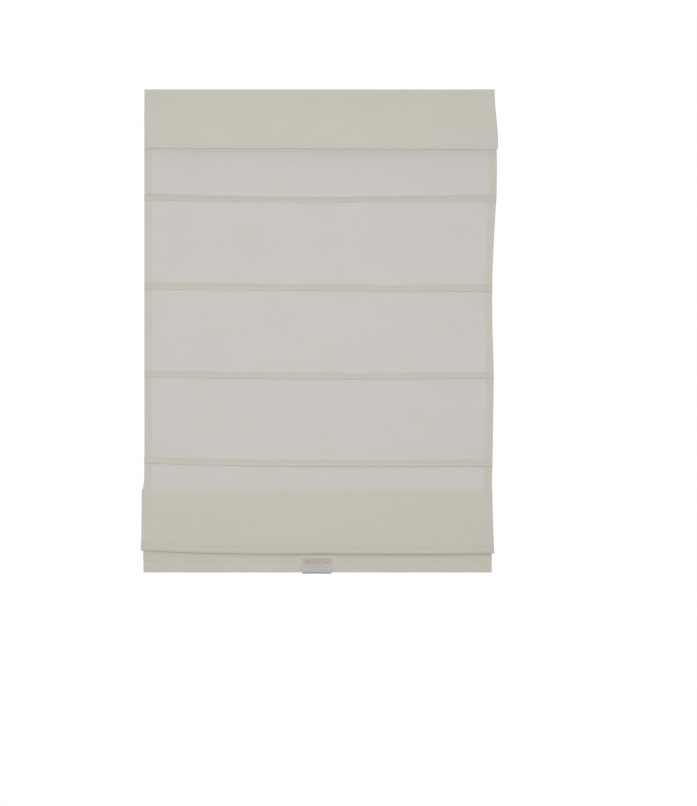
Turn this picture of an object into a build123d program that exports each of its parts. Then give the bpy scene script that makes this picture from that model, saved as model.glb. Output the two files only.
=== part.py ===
from build123d import *
import math
import os

os.makedirs("parts", exist_ok=True)

# Cordless roman blind for mounting inside an opening.
# Millimetres. +X runs along the width, -Y is the front of the blind, +Z is up.
# The origin is the middle of the bracket screw pattern, on the brackets' upper faces.

# ---------------------------------------------------------------- driving sizes
WIDTH = 866.0            # over the headrail's end caps
CLOTH_W = 882.0          # shade cloth
VALANCE_W = 878.0        # valance flap
RAIL_W = 863.0           # bottom rail, over its caps
BATTEN_W = 864.0         # battens in the tucks

VALANCE_DROP = 147.0     # lower edge of the valance under the origin
TUCK_CENTRES = (-273.0, -494.0, -714.0, -932.0)   # the four front tucks
TUCK_H = 14.0            # height of a tuck
FOLD_Z = -1158.0         # lowest point of the front fold
CREASE_Z = -1000.0       # top of the crease behind the front fold
BOTTOM_Z = -1207.0       # lower edge of the cloth round the bottom rail

CLOTH_T = 0.6            # thickness of one layer of cloth
SHADE_Y = -4.0           # middle plane of the hanging cloth
VALANCE_Y = -30.5        # middle plane of the valance

RAIL_TOP_Z = -4.0        # top of the headrail
RAIL_BOT_Z = -40.0       # underside of the headrail
RAIL_HALF = 28.5         # half of the headrail's depth
WALL = 0.9               # headrail wall
LIP = 6.0                # inward lips along the top of the channel

CORD_X = 290.0           # lift cords, left and right of the middle
CORD_Y = 2.8
CORD_R = 0.6
SPOOL_CORE_R = 8.0
SPOOL_FLANGE_R = 12.0
SHAFT_Y = CORD_Y + SPOOL_CORE_R + CORD_R   # lift shaft: the cords leave the spools' front
SHAFT_Z = -22.0
SHAFT_SIDE = 5.0

BRACKET_X = 400.0        # brackets, left and right of the middle
BRACKET_HOLE_Y = 12.0    # screw holes through the top plate, front and back
BRACKET_HOLE_R = 2.25
BRACKET_BACK_Z = (-12.0, -28.0)   # screw holes through the back plate
PLATE_T = 1.2

MOTOR_X0 = 40.0          # spring motor, between these stations
MOTOR_X1 = 84.0
STORE_Y = SHAFT_Y - 20.0 # axis of the storage drum

HANDLE_W = 73.0          # pull handle


# ---------------------------------------------------------------- outlines
def ribbon(points, thickness):
    """Closed outline of a band of even thickness whose middle line is points."""
    h = thickness / 2.0
    n = len(points)
    left, right = [], []
    for i in range(n):
        normals = []
        if i > 0:
            ax, ay = points[i - 1]
            bx, by = points[i]
            d = math.hypot(bx - ax, by - ay)
            normals.append((-(by - ay) / d, (bx - ax) / d))
        if i < n - 1:
            ax, ay = points[i]
            bx, by = points[i + 1]
            d = math.hypot(bx - ax, by - ay)
            normals.append((-(by - ay) / d, (bx - ax) / d))
        sx = sum(v[0] for v in normals)
        sy = sum(v[1] for v in normals)
        d = math.hypot(sx, sy)
        ux, uy = sx / d, sy / d
        k = h / (ux * normals[0][0] + uy * normals[0][1])
        left.append((points[i][0] + ux * k, points[i][1] + uy * k))
        right.append((points[i][0] - ux * k, points[i][1] - uy * k))
    return left + right[::-1]


def arc(cy, cz, r, a0, a1, steps):
    """Points on an arc round (cy, cz), angles in degrees from +Y towards +Z."""
    return [(cy + r * math.cos(math.radians(a0 + (a1 - a0) * i / steps)),
             cz + r * math.sin(math.radians(a0 + (a1 - a0) * i / steps)))
            for i in range(steps + 1)]


def at(forward, z):
    """A point so far in front of the hanging cloth's middle plane."""
    return (SHADE_Y - forward, z)


# The hanging cloth in section, from its head down to the back of the rail pocket.
# The head lies on its tape under the headrail and turns down at its back edge.
# A tuck is a pleat sewn along its top: down in front of its batten, back up
# behind it, and down again as the next panel.
TAPE_T = 1.9
head_z = RAIL_BOT_Z - TAPE_T - CLOTH_T / 2.0
cloth_line = [(SHADE_Y - 20.0, head_z)]
cloth_line += arc(SHADE_Y - 1.5, head_z - 1.5, 1.5, 90, 0, 5)
for zc in TUCK_CENTRES:
    zs = zc + TUCK_H / 2.0
    cloth_line += [at(0, zs + 3.0), at(4.1, zs - 1.5), at(4.1, zs - 12.5)]
    cloth_line += arc(SHADE_Y - 2.6, zs - 12.5, 1.5, 180, 360, 6)[1:]
    cloth_line += arc(SHADE_Y - 0.55, zs - 0.8, 0.55, 180, 0, 6)
# The front fold: straight down to the fifth tuck, back up to the crease over the
# rear rod, down again, and round the bottom rail.
fold_c = FOLD_Z + 0.3 + 1.5
cloth_line += [at(0, fold_c)]
cloth_line += arc(SHADE_Y + 1.5, fold_c, 1.5, 180, 360, 6)[1:]
cloth_line += [at(-3.0, FOLD_Z + TUCK_H), at(-4.8, -1120.0), at(-6.0, -1090.0),
               at(-6.2, -1060.0), at(-5.4, -1030.0)]
crease_c = CREASE_Z - 0.3 - 2.4
cloth_line += arc(CORD_Y, crease_c, 2.4, 180, 0, 8)
cloth_line += [at(-10.4, -1030.0), at(-11.4, -1060.0), at(-11.7, -1100.0),
               at(-11.0, -1135.0), at(-8.2, -1161.0), at(-4.6, -1169.0),
               at(-4.6, BOTTOM_Z + 2.1), at(-5.4, BOTTOM_Z + 0.7), at(-6.2, BOTTOM_Z + 0.3),
               at(-9.7, BOTTOM_Z + 0.3), at(-10.5, BOTTOM_Z + 0.7), at(-11.3, BOTTOM_Z + 2.1),
               at(-11.3, -1171.0), at(-9.7, -1164.5)]

# ---------------------------------------------------------------- headrail
rail_h = WALL / 2.0
with BuildPart() as headrail:
    # Channel with inward lips along its open top.
    with BuildSketch(Plane.YZ):
        with BuildLine():
            Polyline(*ribbon([
                (-RAIL_HALF + LIP, RAIL_TOP_Z - rail_h),
                (-RAIL_HALF + rail_h, RAIL_TOP_Z - rail_h),
                (-RAIL_HALF + rail_h, RAIL_BOT_Z + rail_h),
                (RAIL_HALF - rail_h, RAIL_BOT_Z + rail_h),
                (RAIL_HALF - rail_h, RAIL_TOP_Z - rail_h),
                (RAIL_HALF - LIP, RAIL_TOP_Z - rail_h)], WALL), close=True)
        make_face()
    extrude(amount=WIDTH / 2.0 - 2.0, both=True)
    # Holes for the cord guides.
    with BuildSketch(Plane.XY.offset(RAIL_BOT_Z - 1)):
        with Locations((-CORD_X, CORD_Y), (CORD_X, CORD_Y)):
            Circle(3.0)
    extrude(amount=3.0, mode=Mode.SUBTRACT)
headrail.part.label = "headrail"
export_step(headrail.part, "parts/headrail.step")


def headrail_cap(side):
    """End cap: a plate over the section and a plug inside the channel."""
    x_in = side * (WIDTH / 2.0 - 2.0)
    with BuildPart() as cap:
        with BuildSketch(Plane.YZ.offset(x_in)):
            with Locations((0, (RAIL_TOP_Z + RAIL_BOT_Z) / 2.0)):
                Rectangle(2.0 * RAIL_HALF, RAIL_TOP_Z - RAIL_BOT_Z)
        extrude(amount=side * 2.0)
        plug_y = 2.0 * (RAIL_HALF - WALL - 0.1)
        plug_z = RAIL_TOP_Z - RAIL_BOT_Z - 2.0 * WALL - 0.4
        with BuildSketch(Plane.YZ.offset(x_in)):
            with Locations((0, (RAIL_TOP_Z + RAIL_BOT_Z) / 2.0)):
                Rectangle(plug_y, plug_z)
                Rectangle(plug_y - 3.2, plug_z - 3.2, mode=Mode.SUBTRACT)
        extrude(amount=-side * 6.0)
    return cap


headrail_cap_left = headrail_cap(-1)
headrail_cap_left.part.label = "headrail_cap_left"
export_step(headrail_cap_left.part, "parts/headrail_cap_left.step")
headrail_cap_right = headrail_cap(1)
headrail_cap_right.part.label = "headrail_cap_right"
export_step(headrail_cap_right.part, "parts/headrail_cap_right.step")

# ---------------------------------------------------------------- brackets
LIP_UNDER = RAIL_TOP_Z - WALL
BACK_PLATE_Y = 32.5
LATCH_Y = 11.5


def bracket(xc):
    """Folded steel bracket: top plate, back plate, and a tongue under the front lip."""
    with BuildPart() as b:
        with BuildSketch(Plane.YZ.offset(xc - 17.0)):
            with BuildLine():
                Polyline(*ribbon([
                    (-26.5, LIP_UNDER - 0.4 - PLATE_T / 2.0),
                    (-20.5, LIP_UNDER - 0.4 - PLATE_T / 2.0),
                    (-20.5, -PLATE_T / 2.0),
                    (BACK_PLATE_Y, -PLATE_T / 2.0),
                    (BACK_PLATE_Y, -36.0)], PLATE_T), close=True)
            make_face()
        extrude(amount=34.0)
        # Screw holes through the top plate.
        with BuildSketch(Plane.XY.offset(-PLATE_T - 1.0)):
            with Locations((xc, -BRACKET_HOLE_Y), (xc, BRACKET_HOLE_Y)):
                Circle(BRACKET_HOLE_R)
        extrude(amount=PLATE_T + 2.0, mode=Mode.SUBTRACT)
        # Screw holes through the back plate.
        with BuildSketch(Plane.XZ.offset(-BACK_PLATE_Y - 2.0)):
            with Locations(*[(xc, z) for z in BRACKET_BACK_Z]):
                Circle(BRACKET_HOLE_R)
        extrude(amount=4.0, mode=Mode.SUBTRACT)
        # Pivot stud of the latch, formed in the top plate.
        with BuildSketch(Plane.XY.offset(-PLATE_T)):
            with Locations((xc - 10.0, LATCH_Y)):
                Circle(2.0)
        extrude(amount=-6.2)
        with BuildSketch(Plane.XY.offset(-PLATE_T - 6.0)):
            with Locations((xc - 10.0, LATCH_Y)):
                Circle(3.4)
        extrude(amount=-1.0)
    return b


bracket_left = bracket(-BRACKET_X)
bracket_left.part.label = "bracket_left"
export_step(bracket_left.part, "parts/bracket_left.step")
bracket_right = bracket(BRACKET_X)
bracket_right.part.label = "bracket_right"
export_step(bracket_right.part, "parts/bracket_right.step")


def latch(xc):
    """Latch: a hub on the stud, a cam under the back lip and a turning tab over it."""
    px, py = xc - 10.0, LATCH_Y
    with BuildPart() as lv:
        with BuildSketch(Plane.XY.offset(-PLATE_T - 0.3)):
            with Locations((px, py)):
                Circle(5.5)
        extrude(amount=-5.4)
        # Tab above the lip, turned from the side between the plate and the headrail.
        with BuildSketch(Plane.XY.offset(-PLATE_T - 0.3)):
            with BuildLine():
                Polyline((px - 4.0, py), (px - 4.0, py + 17.0), (px - 1.6, py + 19.4), (px + 1.6, py + 19.4),
                         (px + 4.0, py + 17.0), (px + 4.0, py), close=True)
            make_face()
        extrude(amount=-1.4)
        # Cam under the lip.
        with BuildSketch(Plane.XY.offset(LIP_UNDER - 0.4)):
            with BuildLine():
                Polyline((px - 5.0, py), (px - 5.0, py + 13.0), (px + 5.0, py + 13.0), (px + 5.0, py), close=True)
            make_face()
        extrude(amount=-1.4)
        with BuildSketch(Plane.XY.offset(-PLATE_T)):
            with Locations((px, py)):
                Circle(2.08)
        extrude(amount=-9.0, mode=Mode.SUBTRACT)
    return lv


bracket_latch_left = latch(-BRACKET_X)
bracket_latch_left.part.label = "bracket_latch_left"
export_step(bracket_latch_left.part, "parts/bracket_latch_left.step")
bracket_latch_right = latch(BRACKET_X)
bracket_latch_right.part.label = "bracket_latch_right"
export_step(bracket_latch_right.part, "parts/bracket_latch_right.step")

# ---------------------------------------------------------------- lift drive
with BuildPart() as lift_shaft:
    with BuildSketch(Plane.YZ.offset(-CORD_X - 22.0)):
        with Locations((SHAFT_Y, SHAFT_Z)):
            Rectangle(SHAFT_SIDE, SHAFT_SIDE)
    extrude(amount=2.0 * (CORD_X + 22.0))
    chamfer(lift_shaft.edges().filter_by(Axis.X), 0.4)
lift_shaft.part.label = "lift_shaft"
export_step(lift_shaft.part, "parts/lift_shaft.step")


def spool(xc):
    """Cord spool: core between two flanges, with a hub at each end."""
    with BuildPart() as s:
        for x0, length, r in ((-20.0, 40.0, 4.95), (-14.5, 29.0, SPOOL_CORE_R),
                              (-14.5, 1.6, SPOOL_FLANGE_R), (12.9, 1.6, SPOOL_FLANGE_R)):
            with BuildSketch(Plane.YZ.offset(xc + x0)):
                with Locations((SHAFT_Y, SHAFT_Z)):
                    Circle(r)
            extrude(amount=length)
        with BuildSketch(Plane.YZ.offset(xc - 21.0)):
            with Locations((SHAFT_Y, SHAFT_Z)):
                Rectangle(SHAFT_SIDE + 0.1, SHAFT_SIDE + 0.1)
        extrude(amount=42.0, mode=Mode.SUBTRACT)
    return s


cord_spool_left = spool(-CORD_X)
cord_spool_left.part.label = "cord_spool_left"
export_step(cord_spool_left.part, "parts/cord_spool_left.step")
cord_spool_right = spool(CORD_X)
cord_spool_right.part.label = "cord_spool_right"
export_step(cord_spool_right.part, "parts/cord_spool_right.step")


def cradle(xc):
    """Spool cradle: a floor in the channel and two cheeks that carry the hubs."""
    with BuildPart() as c:
        with BuildSketch(Plane.XY.offset(RAIL_BOT_Z + WALL)):
            with Locations((xc, SHAFT_Y)):
                Rectangle(35.4, 29.0)
        extrude(amount=1.4)
        for x0 in (-17.7, 15.7):
            with BuildSketch(Plane.YZ.offset(xc + x0)):
                with BuildLine():
                    Polyline((SHAFT_Y - 14.5, RAIL_BOT_Z + WALL), (SHAFT_Y + 14.5, RAIL_BOT_Z + WALL),
                             (SHAFT_Y + 8.5, -13.5), (SHAFT_Y - 8.5, -13.5), close=True)
                make_face()
            extrude(amount=2.0)
        with BuildSketch(Plane.YZ.offset(xc - 19.0)):
            with Locations((SHAFT_Y, SHAFT_Z)):
                Circle(5.03)
        extrude(amount=38.0, mode=Mode.SUBTRACT)
        # Way down for the cord and the top of its guide.
        with BuildSketch(Plane.XY.offset(RAIL_BOT_Z)):
            with Locations((xc, CORD_Y)):
                Circle(3.2)
        extrude(amount=5.0, mode=Mode.SUBTRACT)
    return c


spool_cradle_left = cradle(-CORD_X)
spool_cradle_left.part.label = "spool_cradle_left"
export_step(spool_cradle_left.part, "parts/spool_cradle_left.step")
spool_cradle_right = cradle(CORD_X)
spool_cradle_right.part.label = "spool_cradle_right"
export_step(spool_cradle_right.part, "parts/spool_cradle_right.step")


def guide(xc):
    """Cord guide: an eyelet in the floor of the headrail."""
    with BuildPart() as g:
        with BuildSketch(Plane.XY.offset(RAIL_BOT_Z - 1.2)):
            with Locations((xc, CORD_Y)):
                Circle(4.3)
        extrude(amount=1.2)
        with BuildSketch(Plane.XY.offset(RAIL_BOT_Z)):
            with Locations((xc, CORD_Y)):
                Circle(2.98)
        extrude(amount=1.2)
        with BuildSketch(Plane.XY.offset(RAIL_BOT_Z - 2.0)):
            with Locations((xc, CORD_Y)):
                Circle(1.6)
        extrude(amount=5.0, mode=Mode.SUBTRACT)
        fillet(g.edges().filter_by(GeomType.CIRCLE).group_by(Axis.Z)[0], 0.4)
    return g


cord_guide_left = guide(-CORD_X)
cord_guide_left.part.label = "cord_guide_left"
export_step(cord_guide_left.part, "parts/cord_guide_left.step")
cord_guide_right = guide(CORD_X)
cord_guide_right.part.label = "cord_guide_right"
export_step(cord_guide_right.part, "parts/cord_guide_right.step")

# Spring motor: a housing with a cover, an output drum on the shaft, a storage drum
# on its own axle, and the flat spring that runs from one to the other.
with BuildPart() as motor_housing:
    with BuildSketch(Plane.XY.offset(RAIL_BOT_Z + WALL)):
        with Locations(((MOTOR_X0 + MOTOR_X1) / 2.0, 1.0)):
            Rectangle(MOTOR_X1 - MOTOR_X0, 46.0)
    extrude(amount=1.6)
    for x0 in (MOTOR_X0, MOTOR_X1 - 2.0):
        with BuildSketch(Plane.YZ.offset(x0)):
            with BuildLine():
                Polyline((-22.0, RAIL_BOT_Z + WALL), (24.0, RAIL_BOT_Z + WALL),
                         (24.0, -9.0), (-22.0, -9.0), close=True)
            make_face()
        extrude(amount=2.0)
    with BuildSketch(Plane.YZ.offset(MOTOR_X0 - 1.0)):
        with Locations((SHAFT_Y, SHAFT_Z)):
            Circle(5.03)
        with Locations((STORE_Y, SHAFT_Z)):
            Circle(2.0)
    extrude(amount=MOTOR_X1 - MOTOR_X0 + 2.0, mode=Mode.SUBTRACT)
motor_housing.part.label = "motor_housing"
export_step(motor_housing.part, "parts/motor_housing.step")

with BuildPart() as motor_cover:
    with BuildSketch(Plane.XY.offset(-9.0)):
        with Locations(((MOTOR_X0 + MOTOR_X1) / 2.0, 1.0)):
            Rectangle(MOTOR_X1 - MOTOR_X0, 40.0)
    extrude(amount=1.4)
    # Two ribs that locate the cover between the cheeks.
    with BuildSketch(Plane.XY.offset(-9.0)):
        with Locations((MOTOR_X0 + 3.0, 1.0), (MOTOR_X1 - 3.0, 1.0)):
            Rectangle(1.6, 30.0)
    extrude(amount=-2.0)
motor_cover.part.label = "motor_cover"
export_step(motor_cover.part, "parts/motor_cover.step")

with BuildPart() as motor_axle:
    with BuildSketch(Plane.YZ.offset(MOTOR_X0)):
        with Locations((STORE_Y, SHAFT_Z)):
            Circle(2.0)
    extrude(amount=MOTOR_X1 - MOTOR_X0)
motor_axle.part.label = "motor_axle"
export_step(motor_axle.part, "parts/motor_axle.step")

with BuildPart() as output_drum:
    for x0, length, r in ((MOTOR_X0 - 2.0, MOTOR_X1 - MOTOR_X0 + 4.0, 4.95),
                          (MOTOR_X0 + 4.5, 35.0, 7.0),
                          (MOTOR_X0 + 4.5, 1.4, 9.2), (MOTOR_X1 - 5.9, 1.4, 9.2)):
        with BuildSketch(Plane.YZ.offset(x0)):
            with Locations((SHAFT_Y, SHAFT_Z)):
                Circle(r)
        extrude(amount=length)
    with BuildSketch(Plane.YZ.offset(MOTOR_X0 - 3.0)):
        with Locations((SHAFT_Y, SHAFT_Z)):
            Rectangle(SHAFT_SIDE + 0.1, SHAFT_SIDE + 0.1)
    extrude(amount=MOTOR_X1 - MOTOR_X0 + 6.0, mode=Mode.SUBTRACT)
output_drum.part.label = "output_drum"
export_step(output_drum.part, "parts/output_drum.step")

with BuildPart() as storage_drum:
    for x0, length, r in ((MOTOR_X0 + 4.5, 35.0, 5.0),
                          (MOTOR_X0 + 4.5, 1.4, 10.2), (MOTOR_X1 - 5.9, 1.4, 10.2)):
        with BuildSketch(Plane.YZ.offset(x0)):
            with Locations((STORE_Y, SHAFT_Z)):
                Circle(r)
        extrude(amount=length)
    with BuildSketch(Plane.YZ.offset(MOTOR_X0)):
        with Locations((STORE_Y, SHAFT_Z)):
            Circle(2.06)
    extrude(amount=MOTOR_X1 - MOTOR_X0, mode=Mode.SUBTRACT)
storage_drum.part.label = "storage_drum"
export_step(storage_drum.part, "parts/storage_drum.step")

# The spring: its roll on the storage drum, one turn on the output drum, and the
# strip between them, which crosses from the top of one to the bottom of the other.
span = SHAFT_Y - STORE_Y
roll_r, turn_r = 9.2, 7.35
cross = math.degrees(math.asin((roll_r + turn_r) / span))
ca, sa = math.cos(math.radians(cross)), math.sin(math.radians(cross))
with BuildPart() as motor_spring:
    with BuildSketch(Plane.YZ.offset(MOTOR_X0 + 7.0)):
        with Locations((STORE_Y, SHAFT_Z)):
            Circle(roll_r + 0.15)
            Circle(5.1, mode=Mode.SUBTRACT)
    extrude(amount=30.0)
    with BuildSketch(Plane.YZ.offset(MOTOR_X0 + 7.0)):
        with Locations((SHAFT_Y, SHAFT_Z)):
            Circle(turn_r + 0.15)
            Circle(turn_r - 0.25, mode=Mode.SUBTRACT)
    extrude(amount=30.0)
    with BuildSketch(Plane.YZ.offset(MOTOR_X0 + 7.0)):
        with BuildLine():
            Polyline(*ribbon([(STORE_Y + roll_r * sa, SHAFT_Z + roll_r * ca),
                              (SHAFT_Y - turn_r * sa, SHAFT_Z - turn_r * ca)], 0.3), close=True)
        make_face()
    extrude(amount=30.0)
motor_spring.part.label = "motor_spring"
export_step(motor_spring.part, "parts/motor_spring.step")

# ---------------------------------------------------------------- cloth and tapes
with BuildPart() as shade_tape:
    with BuildSketch(Plane.YZ):
        with Locations((SHADE_Y - 11.0, RAIL_BOT_Z - TAPE_T / 2.0)):
            Rectangle(17.0, TAPE_T)
    extrude(amount=WIDTH / 2.0 - 3.0, both=True)
shade_tape.part.label = "shade_tape"
export_step(shade_tape.part, "parts/shade_tape.step")

with BuildPart() as valance_tape:
    with BuildSketch(Plane.YZ):
        with Locations(((-RAIL_HALF + VALANCE_Y + CLOTH_T / 2.0) / 2.0, -18.0)):
            Rectangle(-RAIL_HALF - VALANCE_Y - CLOTH_T / 2.0, 24.0)
    extrude(amount=WIDTH / 2.0 - 3.0, both=True)
valance_tape.part.label = "valance_tape"
export_step(valance_tape.part, "parts/valance_tape.step")

# Valance: a flap with its lower edge turned up behind as a hem.
valance_line = [(VALANCE_Y, -2.0), (VALANCE_Y, -VALANCE_DROP + 1.1)]
valance_line += arc(VALANCE_Y + 0.5, -VALANCE_DROP + 1.1, 0.5, 180, 360, 6)[1:]
valance_line += [(VALANCE_Y + 1.0, -VALANCE_DROP + 14.0)]
with BuildPart() as valance_fabric:
    with BuildSketch(Plane.YZ):
        with BuildLine():
            Polyline(*ribbon(valance_line, CLOTH_T), close=True)
        make_face()
    extrude(amount=VALANCE_W / 2.0, both=True)
valance_fabric.part.label = "valance_fabric"
export_step(valance_fabric.part, "parts/valance_fabric.step")

HANDLE_X = -4.8          # the handle sits a little left of the middle
HANDLE_SCREW_X = 24.0
HANDLE_SCREW_Z = -1181.0
with BuildPart() as shade_fabric:
    with BuildSketch(Plane.YZ):
        with BuildLine():
            Polyline(*ribbon(cloth_line, CLOTH_T), close=True)
        make_face()
    extrude(amount=CLOTH_W / 2.0, both=True)
    # Slits in the crease for the cord toggles.
    with BuildSketch(Plane.XY.offset(CREASE_Z + 1.0)):
        with Locations((-CORD_X, CORD_Y), (CORD_X, CORD_Y)):
            Rectangle(3.4, 8.0)
    extrude(amount=-7.0, mode=Mode.SUBTRACT)
    # Holes in the front of the rail pocket for the handle's screws.
    with BuildSketch(Plane.XZ.offset(-SHADE_Y - 6.0)):
        with Locations((HANDLE_X - HANDLE_SCREW_X, HANDLE_SCREW_Z), (HANDLE_X + HANDLE_SCREW_X, HANDLE_SCREW_Z)):
            Circle(1.9)
    extrude(amount=3.0, mode=Mode.SUBTRACT)
shade_fabric.part.label = "shade_fabric"
export_step(shade_fabric.part, "parts/shade_fabric.step")

# ---------------------------------------------------------------- battens and rings
RING_TUBE = 0.8
RING_R = 4.6
RING_Y = SHADE_Y + CLOTH_T / 2.0 + 0.3 + RING_R + RING_TUBE


def batten(zs, y_front):
    """Flat batten in a tuck, with rounded edges."""
    with BuildPart() as b:
        with BuildSketch(Plane.YZ):
            with Locations((y_front + 0.8, zs - 7.0)):
                RectangleRounded(1.6, 9.4, 0.7)
        extrude(amount=BATTEN_W / 2.0, both=True)
    return b


def rings(z):
    """Two sewn rings on the back of the cloth, round the lift cords."""
    with BuildPart() as r:
        for sx in (-1, 1):
            with BuildSketch(Plane.XZ.offset(-RING_Y)):
                with Locations((sx * CORD_X + RING_R, z)):
                    Circle(RING_TUBE)
            revolve(axis=Axis((sx * CORD_X, RING_Y, z), (0, 0, 1)), revolution_arc=360)
    return r


stitch = [zc + TUCK_H / 2.0 for zc in TUCK_CENTRES]
battens = []
ring_sets = []
for n in range(4):
    b = batten(stitch[n], SHADE_Y - 3.4)
    b.part.label = "rib_batten_%d" % (n + 1)
    export_step(b.part, "parts/rib_batten_%d.step" % (n + 1))
    battens.append(b)
    r = rings(stitch[n])
    r.part.label = "rib_rings_%d" % (n + 1)
    export_step(r.part, "parts/rib_rings_%d.step" % (n + 1))
    ring_sets.append(r)

rib_batten_5 = batten(FOLD_Z + TUCK_H, SHADE_Y + 0.7)
rib_batten_5.part.label = "rib_batten_5"
export_step(rib_batten_5.part, "parts/rib_batten_5.step")

with BuildPart() as rear_rod:
    with BuildSketch(Plane.YZ):
        with Locations((CORD_Y, crease_c)):
            Circle(1.5)
    extrude(amount=BATTEN_W / 2.0, both=True)
rear_rod.part.label = "rear_rod"
export_step(rear_rod.part, "parts/rear_rod.step")


def toggle(xc):
    """Cord toggle: a bell that holds the cord's end, with an eye round the rear rod."""
    with BuildPart() as t:
        with BuildSketch(Plane.XY.offset(CREASE_Z + 1.0)):
            with Locations((xc, CORD_Y)):
                Circle(3.4)
        extrude(amount=11.0)
        chamfer(t.edges().group_by(Axis.Z)[-1], 1.2)
        with BuildSketch(Plane.YZ.offset(xc - 1.2)):
            with BuildLine():
                Polyline((CORD_Y - 1.6, CREASE_Z + 1.0), (CORD_Y + 1.6, CREASE_Z + 1.0),
                         (CORD_Y + 1.6, crease_c), (CORD_Y - 1.6, crease_c), close=True)
            make_face()
            with Locations((CORD_Y, crease_c)):
                Circle(2.6)
                Circle(1.5, mode=Mode.SUBTRACT)
        extrude(amount=2.4)
        with BuildSketch(Plane.XY.offset(CREASE_Z + 4.0)):
            with Locations((xc, CORD_Y)):
                Circle(CORD_R + 0.08)
        extrude(amount=9.0, mode=Mode.SUBTRACT)
    return t


cord_toggle_left = toggle(-CORD_X)
cord_toggle_left.part.label = "cord_toggle_left"
export_step(cord_toggle_left.part, "parts/cord_toggle_left.step")
cord_toggle_right = toggle(CORD_X)
cord_toggle_right.part.label = "cord_toggle_right"
export_step(cord_toggle_right.part, "parts/cord_toggle_right.step")


def lift_cord(xc):
    """Lift cord: turns on the spool, then straight down to its toggle."""
    with BuildPart() as c:
        with BuildSketch(Plane.YZ.offset(xc - 3.0)):
            with Locations((SHAFT_Y, SHAFT_Z)):
                Circle(SPOOL_CORE_R + 0.05 + 2 * CORD_R)
                Circle(SPOOL_CORE_R + 0.05, mode=Mode.SUBTRACT)
        extrude(amount=6.0)
        with BuildSketch(Plane.XY.offset(SHAFT_Z)):
            with Locations((xc, CORD_Y)):
                Circle(CORD_R)
        extrude(amount=CREASE_Z + 4.2 - SHAFT_Z)
    return c


lift_cord_left = lift_cord(-CORD_X)
lift_cord_left.part.label = "lift_cord_left"
export_step(lift_cord_left.part, "parts/lift_cord_left.step")
lift_cord_right = lift_cord(CORD_X)
lift_cord_right.part.label = "lift_cord_right"
export_step(lift_cord_right.part, "parts/lift_cord_right.step")

# ---------------------------------------------------------------- bottom rail
RAIL_Y0 = SHADE_Y + 5.2      # front of the rail
RAIL_T = 5.5
RAIL_H = 36.4
RAIL_Z0 = BOTTOM_Z + 0.9     # underside of the rail
rail_c = (RAIL_Y0 + RAIL_T / 2.0, RAIL_Z0 + RAIL_H / 2.0)
with BuildPart() as bottom_rail:
    with BuildSketch(Plane.YZ):
        with Locations(rail_c):
            RectangleRounded(RAIL_T, RAIL_H, 1.2)
            RectangleRounded(RAIL_T - 2.2, RAIL_H - 2.2, 0.4, mode=Mode.SUBTRACT)
    extrude(amount=RAIL_W / 2.0 - 1.5, both=True)
    with BuildSketch(Plane.XZ.offset(-RAIL_Y0 - 2.0)):
        with Locations((HANDLE_X - HANDLE_SCREW_X, HANDLE_SCREW_Z), (HANDLE_X + HANDLE_SCREW_X, HANDLE_SCREW_Z)):
            Circle(1.5)
    extrude(amount=3.0, mode=Mode.SUBTRACT)
bottom_rail.part.label = "bottom_rail"
export_step(bottom_rail.part, "parts/bottom_rail.step")


def rail_cap(side):
    """Cap of the bottom rail, with a plug inside it."""
    x_in = side * (RAIL_W / 2.0 - 1.5)
    with BuildPart() as cap:
        with BuildSketch(Plane.YZ.offset(x_in)):
            with Locations(rail_c):
                RectangleRounded(RAIL_T, RAIL_H, 1.2)
        extrude(amount=side * 1.5)
        with BuildSketch(Plane.YZ.offset(x_in)):
            with Locations(rail_c):
                Rectangle(RAIL_T - 2.4, RAIL_H - 3.6)
        extrude(amount=-side * 12.0)
    return cap


rail_cap_left = rail_cap(-1)
rail_cap_left.part.label = "rail_cap_left"
export_step(rail_cap_left.part, "parts/rail_cap_left.step")
rail_cap_right = rail_cap(1)
rail_cap_right.part.label = "rail_cap_right"
export_step(rail_cap_right.part, "parts/rail_cap_right.step")

# Pull handle: a plate on the front of the rail with a lip to pull down on.
HANDLE_Y = SHADE_Y + 4.3 - 0.3       # back of the plate
with BuildPart() as pull_handle:
    with BuildSketch(Plane.YZ.offset(HANDLE_X)):
        with BuildLine():
            Polyline(*ribbon([
                (HANDLE_Y - 0.9, -1173.8), (HANDLE_Y - 0.9, -1205.4),
                (HANDLE_Y - 1.4, -1207.3), (HANDLE_Y - 3.0, -1208.3),
                (HANDLE_Y - 10.4, -1208.3), (HANDLE_Y - 12.0, -1207.5),
                (HANDLE_Y - 12.8, -1205.7), (HANDLE_Y - 13.4, -1195.0)], 1.8), close=True)
        make_face()
    extrude(amount=HANDLE_W / 2.0, both=True)
    with BuildSketch(Plane.XZ.offset(-HANDLE_Y - 1.0)):
        with Locations((HANDLE_X - HANDLE_SCREW_X, HANDLE_SCREW_Z), (HANDLE_X + HANDLE_SCREW_X, HANDLE_SCREW_Z)):
            Circle(1.7)
    extrude(amount=4.0, mode=Mode.SUBTRACT)
pull_handle.part.label = "pull_handle"
export_step(pull_handle.part, "parts/pull_handle.step")

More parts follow.
